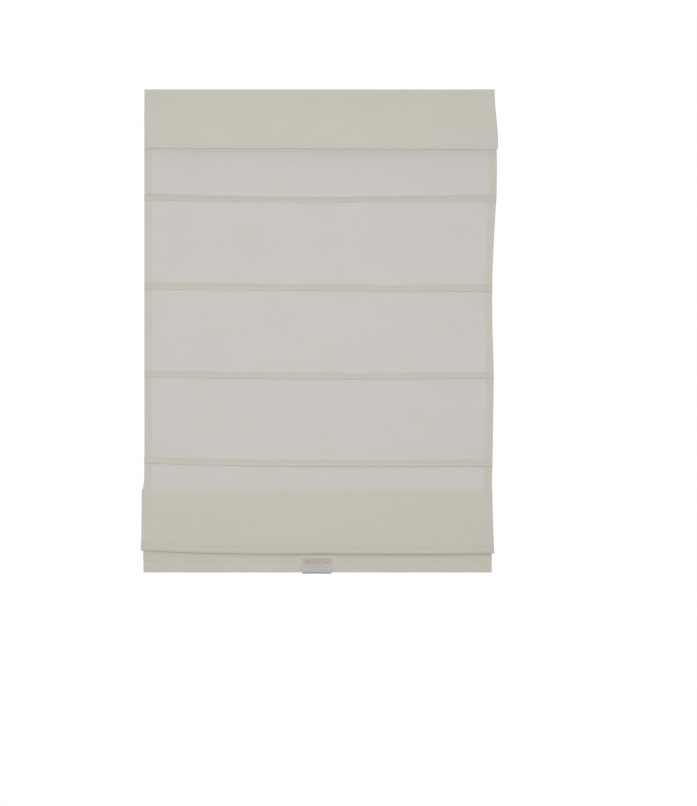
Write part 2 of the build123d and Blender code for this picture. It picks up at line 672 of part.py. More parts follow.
with BuildPart() as handle_screws:
    for sx in (-1, 1):
        with BuildSketch(Plane.XZ.offset(-RAIL_Y0 - 1.1)):
            with Locations((HANDLE_X + sx * HANDLE_SCREW_X, HANDLE_SCREW_Z)):
                Circle(1.5)
        extrude(amount=RAIL_Y0 - HANDLE_Y + 1.1 + 1.8)
        with BuildSketch(Plane.XZ.offset(-HANDLE_Y + 1.8)):
            with Locations((HANDLE_X + sx * HANDLE_SCREW_X, HANDLE_SCREW_Z)):
                Circle(3.0)
        extrude(amount=1.4)
        # Cross recess.
        with BuildSketch(Plane.XZ.offset(-HANDLE_Y + 1.8 + 0.6)):
            with Locations((HANDLE_X + sx * HANDLE_SCREW_X, HANDLE_SCREW_Z)):
                Rectangle(3.4, 0.7)
                Rectangle(0.7, 3.4)
        extrude(amount=1.0, mode=Mode.SUBTRACT)
handle_screws.part.label = "handle_screws"
export_step(handle_screws.part, "parts/handle_screws.step")
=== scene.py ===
import math

import bpy
import numpy as np
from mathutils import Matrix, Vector


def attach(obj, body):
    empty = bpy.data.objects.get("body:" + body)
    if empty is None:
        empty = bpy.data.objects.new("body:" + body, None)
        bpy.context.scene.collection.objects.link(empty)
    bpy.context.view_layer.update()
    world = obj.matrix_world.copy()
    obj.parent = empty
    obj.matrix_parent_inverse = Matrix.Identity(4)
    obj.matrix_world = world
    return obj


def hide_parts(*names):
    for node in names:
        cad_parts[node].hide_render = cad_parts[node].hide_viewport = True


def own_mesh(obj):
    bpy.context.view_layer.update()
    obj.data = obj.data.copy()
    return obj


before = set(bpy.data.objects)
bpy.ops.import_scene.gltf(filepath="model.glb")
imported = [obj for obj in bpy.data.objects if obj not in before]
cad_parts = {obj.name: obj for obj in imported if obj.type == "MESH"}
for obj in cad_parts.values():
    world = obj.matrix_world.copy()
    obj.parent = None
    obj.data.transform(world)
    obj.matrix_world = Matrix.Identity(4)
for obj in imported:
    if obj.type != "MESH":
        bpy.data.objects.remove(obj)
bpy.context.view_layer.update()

# The blind's frame: +X along the width, -Y to the front, +Z up, origin at the
# bracket screws. Sizes below are in millimetres and are turned into metres where
# a mesh is made.
MM = 0.001
scene = bpy.context.scene

# ------------------------------------------------------------------ sizes
SHADE_Y = -4.0                                # hanging cloth
VALANCE_Y = -30.5
STITCH = (-266.0, -487.0, -707.0, -925.0)     # sewn line of each tuck
FOLD_Z = -1160.3                              # lowest line of the front fold
CREASE_Z = -1000.3
BOTTOM_Z = -1207.1
CLOTH_T = 0.36
HEM_W = 19.0
HEM_GAP = 0.46
CORD_X = 290.0
CORD_Y = 2.8
RIGID_UP, RIGID_DOWN = 12.0, 20.0             # a tuck keeps its shape this far round its seam

WORLD_FRONT = (0.13, 0.42)
KEY_POWER = 64.2

# ------------------------------------------------------------------ camera
cam_data = bpy.data.cameras.new("camera")
cam = bpy.data.objects.new("camera", cam_data)
scene.collection.objects.link(cam)
cam_data.sensor_fit = "AUTO"
cam_data.sensor_width = 36.0
cam_data.lens = 18.0 / (1.009 / 4.5)
cam_data.clip_start, cam_data.clip_end = 0.05, 60.0
cam.location = (0.0744, -4.504, -0.7825)
cam.rotation_euler = (math.radians(90.0), 0.0, 0.0)
scene.camera = cam
scene.view_settings.view_transform = "Standard"
scene.view_settings.look = "None"


# ------------------------------------------------------------------ materials
class Tree:
    """A material's node tree, with short calls to add and join nodes."""

    def __init__(self, name):
        self.mat = bpy.data.materials.new(name)
        self.mat.use_nodes = True
        self.nt = self.mat.node_tree
        self.nt.nodes.clear()
        self.out = self.nt.nodes.new("ShaderNodeOutputMaterial")

    def add(self, kind, settings=None, **inputs):
        n = self.nt.nodes.new(kind)
        for key, value in (settings or {}).items():
            setattr(n, key, value)
        for key, value in inputs.items():
            self.put(n.inputs[key.replace("_", " ")], value)
        return n

    def put(self, socket, value):
        if isinstance(value, bpy.types.NodeSocket):
            self.nt.links.new(value, socket)
        elif isinstance(value, bpy.types.Node):
            self.nt.links.new(value.outputs[0], socket)
        else:
            socket.default_value = value

    def math(self, operation, a, b=0.0, c=0.0):
        n = self.add("ShaderNodeMath", {"operation": operation})
        for socket, value in zip(n.inputs, (a, b, c)):
            self.put(socket, value)
        return n.outputs[0]

    def noise(self, vector, scale, detail=3.0, rough=0.5, stretch=None):
        if stretch is not None:
            m = self.add("ShaderNodeMapping", Scale=stretch, Vector=vector)
            vector = m.outputs[0]
        n = self.add("ShaderNodeTexNoise", Vector=vector, Scale=scale, Detail=detail, Roughness=rough)
        return n.outputs[0]

    def ramp(self, fac, stops):
        n = self.add("ShaderNodeValToRGB")
        self.put(n.inputs["Fac"], fac)
        e = n.color_ramp.elements
        while len(e) < len(stops):
            e.new(0.5)
        for item, (pos, colour) in zip(e, stops):
            item.position = pos
            item.color = (*colour, 1.0)
        return n.outputs[0]

    def grey(self, fac, low, high, a=0.3, b=0.7):
        n = self.add("ShaderNodeMapRange", From_Min=a, From_Max=b, To_Min=low, To_Max=high)
        self.put(n.inputs["Value"], fac)
        return n.outputs[0]

    def mix(self, fac, a, b, blend="MIX"):
        n = self.add("ShaderNodeMix", {"data_type": "RGBA", "blend_type": blend})
        self.put(n.inputs[0], fac)
        self.put(n.inputs[6], a)
        self.put(n.inputs[7], b)
        return n.outputs[2]

    def bump(self, height, distance, strength=1.0, normal=None):
        n = self.add("ShaderNodeBump", Strength=strength, Distance=distance)
        self.put(n.inputs["Height"], height)
        if normal is not None:
            self.put(n.inputs["Normal"], normal)
        return n.outputs[0]

    def done(self, shader):
        self.nt.links.new(shader.outputs[0], self.out.inputs["Surface"])
        return self.mat


def around(colour, share):
    """Three stops of one colour, a little darker and a little lighter."""
    return [(0.25, tuple(c * (1.0 - share) for c in colour)), (0.5, colour),
            (0.75, tuple(min(1.0, c * (1.0 + share)) for c in colour))]


def cloth_material(name, front, through, fac, slub=0.022):
    """Woven cloth that lets some light through: plain weave, uneven threads, soft patches."""
    t = Tree(name)
    uv = t.add("ShaderNodeUVMap", {"uv_map": "cloth"}).outputs[0]
    across = t.noise(uv, 1.0, 4.0, 0.6, (9.0, 820.0, 1.0))
    along = t.noise(uv, 1.0, 4.0, 0.6, (820.0, 11.0, 1.0))
    broad = t.noise(uv, 9.0, 4.0, 0.6)
    threads = t.math("ADD", t.math("MULTIPLY", across, 0.55), t.math("MULTIPLY", along, 0.45))
    tone = t.math("ADD", t.math("MULTIPLY", threads, 0.55), t.math("MULTIPLY", broad, 0.45))
    face = t.ramp(tone, around(front, slub))
    back = t.ramp(tone, around(through, slub * 1.6))
    xyz = t.add("ShaderNodeSeparateXYZ", Vector=uv)
    pitch = 2.0 * math.pi / 0.00062
    wx = t.math("SINE", t.math("MULTIPLY", xyz.outputs[0], pitch))
    wy = t.math("SINE", t.math("MULTIPLY", xyz.outputs[1], pitch))
    weave = t.math("MULTIPLY", wx, wy)
    height = t.math("ADD", t.math("MULTIPLY", weave, 0.35), t.math("MULTIPLY", threads, 1.6))
    normal = t.bump(height, 0.00011, 0.55)
    surface = t.add("ShaderNodeBsdfPrincipled", Roughness=0.92)
    surface.inputs["Specular IOR Level"].default_value = 0.12
    surface.inputs["Sheen Weight"].default_value = 0.05
    surface.inputs["Sheen Roughness"].default_value = 0.6
    t.put(surface.inputs["Base Color"], face)
    t.put(surface.inputs["Normal"], normal)
    light = t.add("ShaderNodeBsdfTranslucent")
    t.put(light.inputs["Color"], back)
    t.put(light.inputs["Normal"], normal)
    m = t.add("ShaderNodeMixShader")
    m.inputs[0].default_value = fac
    t.put(m.inputs[1], surface.outputs[0])
    t.put(m.inputs[2], light.outputs[0])
    return t.done(m)


def plastic_material(name, colour, rough=0.4, vary=0.035, grain=700.0, depth=0.00002, coat=0.0,
                     subsurface=0.0, speck=None):
    """Moulded plastic: fine spark-eroded grain, faint flow marks, uneven gloss."""
    t = Tree(name)
    co = t.add("ShaderNodeTexCoord").outputs["Object"]
    flow = t.noise(co, 14.0, 3.0, 0.55, (0.35, 1.0, 1.0))
    fine = t.noise(co, grain, 2.0, 0.5)
    tone = t.math("ADD", t.math("MULTIPLY", flow, 0.7), t.math("MULTIPLY", fine, 0.3))
    p = t.add("ShaderNodeBsdfPrincipled")
    t.put(p.inputs["Base Color"], t.ramp(tone, around(colour, vary)))
    t.put(p.inputs["Roughness"], t.grey(fine, rough * 0.88, min(1.0, rough * 1.15)))
    t.put(p.inputs["Normal"], t.bump(fine, depth, 0.5))
    p.inputs["Coat Weight"].default_value = coat
    if subsurface:
        p.inputs["Subsurface Weight"].default_value = subsurface
        p.inputs["Subsurface Scale"].default_value = 0.001
    return t.done(p)


def metal_material(name, colour, rough=0.35, brush=(4.0, 500.0, 500.0), vary=0.08, depth=0.000012):
    """Rolled or drawn metal: streaks along the width and uneven shine."""
    t = Tree(name)
    co = t.add("ShaderNodeTexCoord").outputs["Object"]
    streak = t.noise(co, 1.0, 4.0, 0.6, brush)
    cloud = t.noise(co, 22.0, 3.0, 0.5)
    tone = t.math("ADD", t.math("MULTIPLY", streak, 0.5), t.math("MULTIPLY", cloud, 0.5))
    p = t.add("ShaderNodeBsdfPrincipled")
    p.inputs["Metallic"].default_value = 1.0
    t.put(p.inputs["Base Color"], t.ramp(tone, around(colour, vary)))
    t.put(p.inputs["Roughness"], t.grey(tone, rough * 0.75, rough * 1.35))
    t.put(p.inputs["Normal"], t.bump(streak, depth, 0.6))
    return t.done(p)


def paint_material(name, colour, rough=0.42):
    """Baked enamel on sheet metal: a faint orange peel."""
    t = Tree(name)
    co = t.add("ShaderNodeTexCoord").outputs["Object"]
    peel = t.noise(co, 520.0, 2.0, 0.45)
    cloud = t.noise(co, 9.0, 3.0, 0.5, (0.3, 1.0, 1.0))
    p = t.add("ShaderNodeBsdfPrincipled")
    t.put(p.inputs["Base Color"], t.ramp(cloud, around(colour, 0.02)))
    t.put(p.inputs["Roughness"], t.grey(cloud, rough * 0.85, rough * 1.15))
    t.put(p.inputs["Normal"], t.bump(peel, 0.00003, 0.4))
    return t.done(p)


def clear_material(name, tint=(0.80, 0.81, 0.83), rough=0.12, alpha=0.30):
    """Clear moulded plastic with faint flow lines."""
    t = Tree(name)
    co = t.add("ShaderNodeTexCoord").outputs["Object"]
    flow = t.noise(co, 60.0, 2.0, 0.5, (0.5, 1.0, 1.0))
    p = t.add("ShaderNodeBsdfPrincipled")
    p.inputs["Alpha"].default_value = alpha
    p.inputs["IOR"].default_value = 1.49
    t.put(p.inputs["Base Color"], t.ramp(flow, around(tint, 0.03)))
    wavy = t.bump(flow, 0.00012, 0.5)
    t.put(p.inputs["Roughness"], t.grey(flow, rough * 0.6, rough * 1.8))
    t.put(p.inputs["Normal"], wavy)
    gloss = t.add("ShaderNodeBsdfGlossy")
    t.put(gloss.inputs["Color"], t.ramp(flow, around((0.95, 0.95, 0.95), 0.02)))
    t.put(gloss.inputs["Roughness"], t.grey(flow, rough * 0.6, rough * 1.4))
    t.put(gloss.inputs["Normal"], wavy)
    edge = t.add("ShaderNodeFresnel", IOR=1.42)
    t.put(edge.inputs["Normal"], wavy)
    m = t.add("ShaderNodeMixShader")
    t.put(m.inputs[0], edge)
    t.put(m.inputs[1], p.outputs[0])
    t.put(m.inputs[2], gloss.outputs[0])
    return t.done(m)


def cord_material(name, colour):
    """Braided polyester cord: two sets of strands that cross, from the cloth UV."""
    t = Tree(name)
    uv = t.add("ShaderNodeUVMap", {"uv_map": "cloth"}).outputs[0]
    xyz = t.add("ShaderNodeSeparateXYZ", Vector=uv)
    a = t.math("MULTIPLY", xyz.outputs[0], 2.0 * math.pi * 4.0)
    b = t.math("MULTIPLY", xyz.outputs[1], 2.0 * math.pi / 0.0021)
    one = t.math("SINE", t.math("ADD", a, b))
    two = t.math("SINE", t.math("SUBTRACT", a, b))
    braid = t.math("MAXIMUM", one, two)
    fibre = t.noise(uv, 1.0, 2.0, 0.6, (60.0, 2600.0, 1.0))
    p = t.add("ShaderNodeBsdfPrincipled", Roughness=0.8)
    p.inputs["Sheen Weight"].default_value = 0.2
    tone = t.math("ADD", t.math("MULTIPLY", braid, 0.22), t.math("MULTIPLY", fibre, 0.7))
    t.put(p.inputs["Base Color"], t.ramp(tone, around(colour, 0.10)))
    t.put(p.inputs["Normal"], t.bump(braid, 0.00012, 0.9))
    return t.done(p)


def tape_material(name, colour, loops):
    """Hook or loop tape: a dense nap on a woven band."""
    t = Tree(name)
    co = t.add("ShaderNodeTexCoord").outputs["Object"]
    nap = t.add("ShaderNodeTexVoronoi", Vector=co, Scale=900.0 if loops else 620.0).outputs["Distance"]
    curl = t.noise(co, 1400.0, 2.0, 0.6)
    cloud = t.noise(co, 45.0, 3.0, 0.5)
    p = t.add("ShaderNodeBsdfPrincipled", Roughness=0.95)
    p.inputs["Sheen Weight"].default_value = 0.25
    height = t.math("ADD", nap, t.math("MULTIPLY", curl, 0.6))
    tone = t.math("ADD", t.math("MULTIPLY", cloud, 0.6), t.math("MULTIPLY", curl, 0.4))
    t.put(p.inputs["Base Color"], t.ramp(tone, around(colour, 0.06)))
    t.put(p.inputs["Normal"], t.bump(height, 0.0005, 0.8))
    return t.done(p)


# The cloth's through colour is tinted blue: painted sky light from behind, on top of the cloth's own beige.
CLOTH = cloth_material("shade_cloth", (0.800, 0.770, 0.652), (0.478, 0.488, 0.712), 0.35)
# A copy of the cloth with a yellower through colour: painted light for the layers behind the fold's front.
CLOTH_INNER_PAINTED_LIGHT = cloth_material("shade_cloth_painted_inner_light", (0.800, 0.770, 0.652), (0.53, 0.53, 0.50), 0.35)
THREAD = cord_material("sewing_thread", (0.66, 0.64, 0.56))
CORD = cord_material("lift_cord_braid", (0.74, 0.73, 0.70))
HOOK = tape_material("hook_tape", (0.70, 0.70, 0.68), False)
LOOP = tape_material("loop_tape", (0.76, 0.75, 0.72), True)
RAIL_PAINT = paint_material("rail_enamel", (0.78, 0.77, 0.74))
CAP_WHITE = plastic_material("cap_plastic", (0.78, 0.77, 0.74), 0.45)
NYLON = plastic_material("natural_nylon", (0.72, 0.71, 0.64), 0.38, subsurface=0.15)
ACETAL = plastic_material("latch_acetal", (0.80, 0.80, 0.78), 0.32, coat=0.1)
MOTOR_GREY = plastic_material("motor_plastic", (0.20, 0.205, 0.215), 0.5, 0.08)
DRUM_BLACK = plastic_material("drum_acetal", (0.045, 0.046, 0.05), 0.34, 0.15)
BATTEN = plastic_material("batten_plastic", (0.76, 0.76, 0.74), 0.35, grain=260.0)
RING = plastic_material("ring_plastic", (0.80, 0.80, 0.78), 0.22, coat=0.3, subsurface=0.2)
GALVANISED = metal_material("zinc_plate", (0.62, 0.63, 0.65), 0.38, (60.0, 60.0, 60.0), 0.14)
BRIGHT = metal_material("drawn_steel", (0.60, 0.60, 0.61), 0.26, (3.0, 900.0, 900.0))
SPRING = metal_material("spring_strip", (0.36, 0.38, 0.43), 0.24, (900.0, 5.0, 5.0), 0.12)
MILL = metal_material("mill_aluminium", (0.74, 0.74, 0.75), 0.40, (2.0, 700.0, 700.0))
ROD = plastic_material("glass_rod", (0.74, 0.73, 0.66), 0.30, grain=500.0, coat=0.2)
CLEAR = clear_material("clear_plastic", (0.90, 0.845, 0.835), 0.12, 0.25)
LIP = clear_material("clear_plastic_lip", (0.79, 0.80, 0.80), 0.12, 0.25)
# A darker brownish, nearly clear tint for the band along the handle's top.
HANDLE_DARK_BAND = clear_material("handle_dark_band", (0.50, 0.34, 0.29), 0.5, 0.13)
SCREW = plastic_material("screw_lacquer", (0.50, 0.43, 0.40), 0.6, 0.12, 500.0)
# Dark grey for the handle's bottom bend: painted shade for how the clear bend looks dark.
EDGE = plastic_material("clear_plastic_painted_dark_edge", (0.27, 0.27, 0.265), 0.3, 0.10, 300.0)


# ------------------------------------------------------------------ mesh helpers
def make_object(name, verts, faces, materials, uv=None, sharp=None, face_mat=None, smooth=True):
    """An object from points in millimetres. sharp is a set of point pairs, uv one pair per point."""
    me = bpy.data.meshes.new(name)
    me.from_pydata((np.asarray(verts, float) * MM).tolist(), [], [list(f) for f in faces])
    me.update()
    for m in materials:
        me.materials.append(m)
    me.polygons.foreach_set("use_smooth", [smooth] * len(me.polygons))
    if face_mat is not None:
        me.polygons.foreach_set("material_index", list(face_mat))
    if uv is not None:
        layer = me.uv_layers.new(name="cloth")
        index = np.zeros(len(me.loops), np.int32)
        me.loops.foreach_get("vertex_index", index)
        layer.data.foreach_set("uv", np.asarray(uv, np.float32)[index].ravel())
    if sharp is not None:
        e = np.zeros(len(me.edges) * 2, np.int32)
        me.edges.foreach_get("vertices", e)
        e = e.reshape(-1, 2)
        flags = sharp(e)
        attribute = me.attributes.get("sharp_edge") or me.attributes.new("sharp_edge", "BOOLEAN", "EDGE")
        attribute.data.foreach_set("value", flags)
    o = bpy.data.objects.new(name, me)
    scene.collection.objects.link(o)
    return o


def rounded(points, step=14.0):
    """A path through (y, z, r) corners, each turned by an arc of radius r."""
    out = []
    for i, (y, z, r) in enumerate(points):
        if i in (0, len(points) - 1) or r <= 0:
            out.append((y, z))
            continue
        p = np.array((y, z))
        a = np.array(points[i - 1][:2]) - p
        b = np.array(points[i + 1][:2]) - p
        a, b = a / np.linalg.norm(a), b / np.linalg.norm(b)
        inner = math.acos(max(-1.0, min(1.0, float(a @ b))))
        turn = math.pi - inner
        if turn < 1e-3:
            out.append((y, z))
            continue
        reach = r * math.tan(turn / 2.0)
        s, e = p + a * reach, p + b * reach
        c = p + (a + b) / np.linalg.norm(a + b) * (r / math.sin(inner / 2.0))
        a0 = math.atan2(*(s - c)[::-1])
        a1 = math.atan2(*(e - c)[::-1])
        d = (a1 - a0 + math.pi) % (2.0 * math.pi) - math.pi
        n = max(2, math.ceil(math.degrees(turn) / step))
        out += [(c[0] + r * math.cos(a0 + d * k / n), c[1] + r * math.sin(a0 + d * k / n))
                for k in range(n + 1)]
    clean = [out[0]]
    for q in out[1:]:
        if math.dist(q, clean[-1]) > 0.02:
            clean.append(q)
    return clean


def filled(points, step):
    """The path again, with long runs divided evenly."""
    out = [points[0]]
    for a, b in zip(points, points[1:]):
        n = max(1, math.ceil(math.dist(a, b) / step))
        out += [(a[0] + (b[0] - a[0]) * k / n, a[1] + (b[1] - a[1]) * k / n) for k in range(1, n + 1)]
    return out


def table(points, width=30.0):
    """A smooth curve through (position, value) pairs."""
    points = sorted(points)
    xs, ys = [p[0] for p in points], [p[1] for p in points]
    grid = np.arange(xs[0] - 4 * width, xs[-1] + 4 * width + 1.0, 1.0)
    v = np.interp(grid, xs, ys)
    k = np.arange(-int(3 * width), int(3 * width) + 1)
    g = np.exp(-0.5 * (k / width) ** 2)
    g /= g.sum()
    pad = len(k) // 2
    v = np.convolve(np.pad(v, pad, mode="edge"), g, mode="valid")
    return lambda x: np.interp(x, grid, v)


def ease(t):
    t = np.clip(t, 0.0, 1.0)
    return t * t * (3.0 - 2.0 * t)


def waves(x, parts):
    """A sum of sines: (height, length, phase)."""
    total = np.zeros_like(np.asarray(x, float))
    for h, length, phase in parts:
        total = total + h * np.sin(2.0 * math.pi * x / length + phase)
    return total


# ------------------------------------------------------------------ how the cloth hangs
# The tucks don't run dead straight: each seam and each lower edge dips or rises by a
# few millimetres along the width.
COLUMNS = (-440.0, -398.0, -297.0, -122.0, 66.0, 191.0, 316.0, 404.0, 440.0)
SEAM_DIPS = (
    (6.0, 5.0, 2.0, -2.2, -2.2, 0.0, 1.2, 2.8, 3.4),
    (5.0, 4.4, 3.2, 1.0, 0.0, -2.2, -0.6, -0.4, -0.2),
    (3.2, 2.6, 2.0, -0.5, -1.2, -1.7, -0.5, 0.1, 0.4),
    (6.0, 5.2, 2.1, -0.8, -1.0, -1.0, -0.8, -0.2, 0.2),
)
EDGE_DIPS = (
    (5.6, 4.9, 2.4, -0.1, -0.1, 1.1, 2.4, 2.4, 2.2),
    (3.6, 3.0, 1.8, 0.5, -0.8, -2.0, -2.2, -2.8, -3.0),
    (4.6, 3.9, 1.4, -1.1, -2.3, -1.8, -0.6, 0.1, 0.4),
    (5.4, 4.6, 1.6, -2.0, -3.0, -3.2, -2.6, -2.4, -2.2),
)
seam_dip = [table(zip(COLUMNS, [d - 0.9 for d in v]), 22.0) for v in SEAM_DIPS]
edge_dip = [table(zip(COLUMNS, v), 22.0) for v in EDGE_DIPS]
fold_dip = table(zip(COLUMNS, (8.4, 6.2, 2.0, -0.6, -0.2, -1.4, -0.9, 0.2, 1.2)), 22.0)

BILLOWS = [
    [(0.55, 640.0, 0.4), (0.40, 287.0, 2.1), (0.20, 133.0, 4.4)],
    [(0.60, 710.0, 2.7), (0.35, 241.0, 0.6), (0.22, 118.0, 1.3)],
    [(0.55, 590.0, 5.1), (0.38, 263.0, 3.0), (0.20, 127.0, 0.2)],
    [(0.62, 680.0, 1.2), (0.36, 229.0, 4.9), (0.22, 109.0, 2.8)],
]
PUCKERS = [(0.10, 31.0, 0.3), (0.08, 19.0, 1.9), (0.07, 47.0, 4.0)]


def lift_of(x, z):
    """How far the cloth at (x, z) sits above the straight line of its tuck or fold."""
    total = np.zeros_like(x)
    for zs, top, low in zip(STITCH, seam_dip, edge_dip):
        share = np.clip((zs - z) / 14.3, 0.0, 1.0)
        dip = top(x) * (1.0 - share) + low(x) * share
        gain = ease((zs + RIGID_UP - z) / (RIGID_UP - 4.5)) * ease((z - (zs - RIGID_DOWN)) / (RIGID_DOWN - 15.0))
        total = total + dip * gain
    gain = ease((-1085.0 - z) / 55.0) * ease((z + 1172.0) / 10.0)
    return total + fold_dip(x) * gain


def push_of(x, z):
    """How far the cloth at (x, z) stands out of its plane, + to the back."""
    total = np.zeros_like(x)
    tops = [-46.0] + [zs - RIGID_DOWN for zs in STITCH[:3]]
    ends = [zs + RIGID_UP for zs in STITCH]
    for top, end, parts in zip(tops, ends, BILLOWS):
        t = np.clip((top - z) / (top - end), 0.0, 1.0)
        total = total + waves(x + 0.12 * z, parts) * np.sin(math.pi * t) ** 1.5
    for i, zs in enumerate(STITCH):
        near = np.exp(-np.abs(z - zs + 3.0) / 11.0)
        total = total + waves(x + 40.0 * i, PUCKERS) * near
    return total


# Side edges of the shade cloth, front layer and the layers behind it.
left_edge = table([(0, -436.8), (-150, -436.6), (-500, -436.4), (-900, -436.4), (-980, -437.0), (-1002, -442.0),
                   (-1060, -443.6), (-1160, -444.9)], 6.0)
right_edge = table([(-40, 439.5), (-125, 441.5), (-146, 445.6), (-165, 445.8), (-250, 445.4), (-272, 445.0), (-295, 442.6), (-349, 439.8),
                    (-424, 436.0), (-462, 434.6), (-525, 433.9), (-600, 434.6), (-650, 436.4), (-712, 438.0), (-780, 437.2), (-900, 435.4),
                    (-975, 433.6), (-1020, 433.6), (-1160, 439.2)], 14.0)


class Strip:
    """Columns of a hemmed cloth, from one hem's free edge, round both sides, to the other's."""

    def __init__(self, spacing=7.0, hem=HEM_W):
        h = HEM_GAP
        cols = []   # (weight of left edge, weight of right edge, offset, n, normal x, normal n, u)
        back = np.linspace(hem, h / 2.0 + 0.6, 8)
        for d in back:
            cols.append((1.0, 0.0, d, h, 0.0, 1.0, -d))
        for phi in np.linspace(math.pi, 0.0, 5):
            cols.append((1.0, 0.0, h / 2.0 - h / 2.0 * math.sin(phi), h / 2.0 - h / 2.0 * math.cos(phi),
                         -math.sin(phi), -math.cos(phi), 0.0))
        side = np.array([1.5, 4.0, 8.0, 12.0, 16.0, 20.0])
        for d in side:
            cols.append((1.0, 0.0, d, 0.0, 0.0, -1.0, d))
        n = int(round((880.0 - 48.0) / spacing))
        for f in np.linspace(0.0, 1.0, n + 1):
            cols.append((1.0 - f, f, 24.0 * (1.0 - 2.0 * f), 0.0, 0.0, -1.0, 24.0 + 832.0 * f))
        for d in side[::-1]:
            cols.append((0.0, 1.0, -d, 0.0, 0.0, -1.0, 880.0 - d))
        for phi in np.linspace(0.0, math.pi, 5):
            cols.append((0.0, 1.0, -h / 2.0 + h / 2.0 * math.sin(phi), h / 2.0 - h / 2.0 * math.cos(phi),
                         math.sin(phi), -math.cos(phi), 880.0))
        for d in back[::-1]:
            cols.append((0.0, 1.0, -d, h, 0.0, 1.0, 880.0 + d))
        self.c = np.array(cols).T

    def points(self, path, left, right, push, lift, front_only=None):
        """The cloth's two faces along path, a list of (y, z). left, right, push and lift give, for
        each row, the side edges and the shift of each point. Returns (faces A and B, u, s)."""
        wl, wr, off, n, nx, nn, u = self.c
        p = np.array(path)
        t = np.gradient(p, axis=0)
        t[0], t[-1] = p[1] - p[0], p[-1] - p[-2]
        t /= np.linalg.norm(t, axis=1)[:, None]
        normal = np.stack([-t[:, 1], t[:, 0]], axis=1)
        x = np.outer(left, wl) + np.outer(right, wr) + off[None, :]
        y = p[:, :1] + n[None, :] * normal[:, :1]
        z = p[:, 1:] + n[None, :] * normal[:, 1:]
        rows_z = np.repeat(p[:, 1:], x.shape[1], axis=1)
        y = y + push(x, rows_z)
        z = z + lift(x, rows_z)
        centre = np.stack([x, y, z], axis=2)
        out = np.stack([np.broadcast_to(nx, x.shape), nn[None, :] * normal[:, :1], nn[None, :] * normal[:, 1:]], axis=2)
        s = np.concatenate([[0.0], np.cumsum(np.linalg.norm(np.diff(p, axis=0), axis=1))])
        return centre, out, u, s


def solid_grid(centre, out, thick):
    """Points and faces of a closed sheet round a grid of centres, and which edges are its rim."""
    rows, cols = centre.shape[:2]
    a = (centre + out * thick / 2.0).reshape(-1, 3)
    b = (centre - out * thick / 2.0).reshape(-1, 3)
    n = rows * cols
    r, c = np.meshgrid(np.arange(rows - 1), np.arange(cols - 1), indexing="ij")
    i = (r * cols + c).ravel()
    faces = [np.stack([i, i + cols, i + cols + 1, i + 1], axis=1),
             np.stack([i + 1, i + cols + 1, i + cols, i], axis=1) + n]
    c = np.arange(cols - 1)
    faces.append(np.stack([c, c + 1, c + 1 + n, c + n], axis=1))
    c = c + (rows - 1) * cols
    faces.append(np.stack([c + n, c + 1 + n, c + 1, c], axis=1))
    r = np.arange(rows - 1) * cols
    faces.append(np.stack([r, r + n, r + cols + n, r + cols], axis=1))
    r = r + cols - 1
    faces.append(np.stack([r + cols, r + cols + n, r + n, r], axis=1))

    def rim(e):
        rest = e % n
        row, col = rest // cols, rest % cols
        on = np.zeros(len(e), bool)
        for value, last in ((row, rows - 1), (col, cols - 1)):
            for end in (0, last):
                on |= (value[:, 0] == end) & (value[:, 1] == end)
        inside = (e < 2 * n).all(axis=1)
        return on & inside

    return np.concatenate([a, b]), np.concatenate(faces), rim


# A stitch: a short fat thread, pointed at both ends.
_ring = [(math.cos(k * 2 * math.pi / 5), math.sin(k * 2 * math.pi / 5)) for k in range(5)]
STITCH_V = np.array([(-1.0, 0.0, 0.0)] + [(-0.62, a, b) for a, b in _ring] + [(0.62, a, b) for a, b in _ring]
                    + [(1.0, 0.0, 0.0)])
STITCH_F = ([(0, 1 + (k + 1) % 5, 1 + k) for k in range(5)]
            + [(1 + k, 1 + (k + 1) % 5, 6 + (k + 1) % 5, 6 + k) for k in range(5)]
            + [(11, 6 + k, 6 + (k + 1) % 5) for k in range(5)])


def stitches(line, normal, pitch=3.6, length=2.7, width=0.42, rise=0.2, seed=1):
    """Stitches along a line of points, lying on the side of normal. Returns points, faces and uv."""
    line, normal = np.asarray(line, float), np.asarray(normal, float)
    d = np.linalg.norm(np.diff(line, axis=0), axis=1)
    along = np.concatenate([[0.0], np.cumsum(d)])
    n = int(along[-1] / pitch)
    if n < 1:
        return np.zeros((0, 3)), [], np.zeros((0, 2))
    at = (np.arange(n) + 0.5) * along[-1] / n
    rng = np.random.default_rng(seed)
    pick = lambda q, v: np.stack([np.interp(q, along, v[:, k]) for k in range(3)], axis=1)
    c = pick(at, line)
    t = pick(at + 0.5, line) - pick(at - 0.5, line)
    t /= np.linalg.norm(t, axis=1)[:, None]
    w = pick(at, normal)
    w -= (w * t).sum(1)[:, None] * t
    w /= np.linalg.norm(w, axis=1)[:, None]
    tilt = rng.normal(0.0, 0.05, n)[:, None]
    side = np.cross(w, t)
    t2 = t + side * tilt
    t2 /= np.linalg.norm(t2, axis=1)[:, None]
    side = np.cross(w, t2)
    size = (length / 2.0) * rng.uniform(0.93, 1.05, n)
    v = (c[:, None] + STITCH_V[None, :, :1] * (t2 * size[:, None])[:, None]
         + STITCH_V[None, :, 1:2] * side[:, None] * (width / 2.0)
         + STITCH_V[None, :, 2:3] * w[:, None] * rise
         + w[:, None] * rise * 0.35)
    faces = [tuple(i * 12 + k for k in f) for i in range(n) for f in STITCH_F]
    uv = np.stack([np.tile(STITCH_V[:, 1] * 0.1, n), np.repeat(at, 12) * MM + np.tile(STITCH_V[:, 0], n) * size.repeat(12) * MM], axis=1)
    return v.reshape(-1, 3), faces, uv


strip = Strip()
s_total = 0.0
cloth_pieces = []


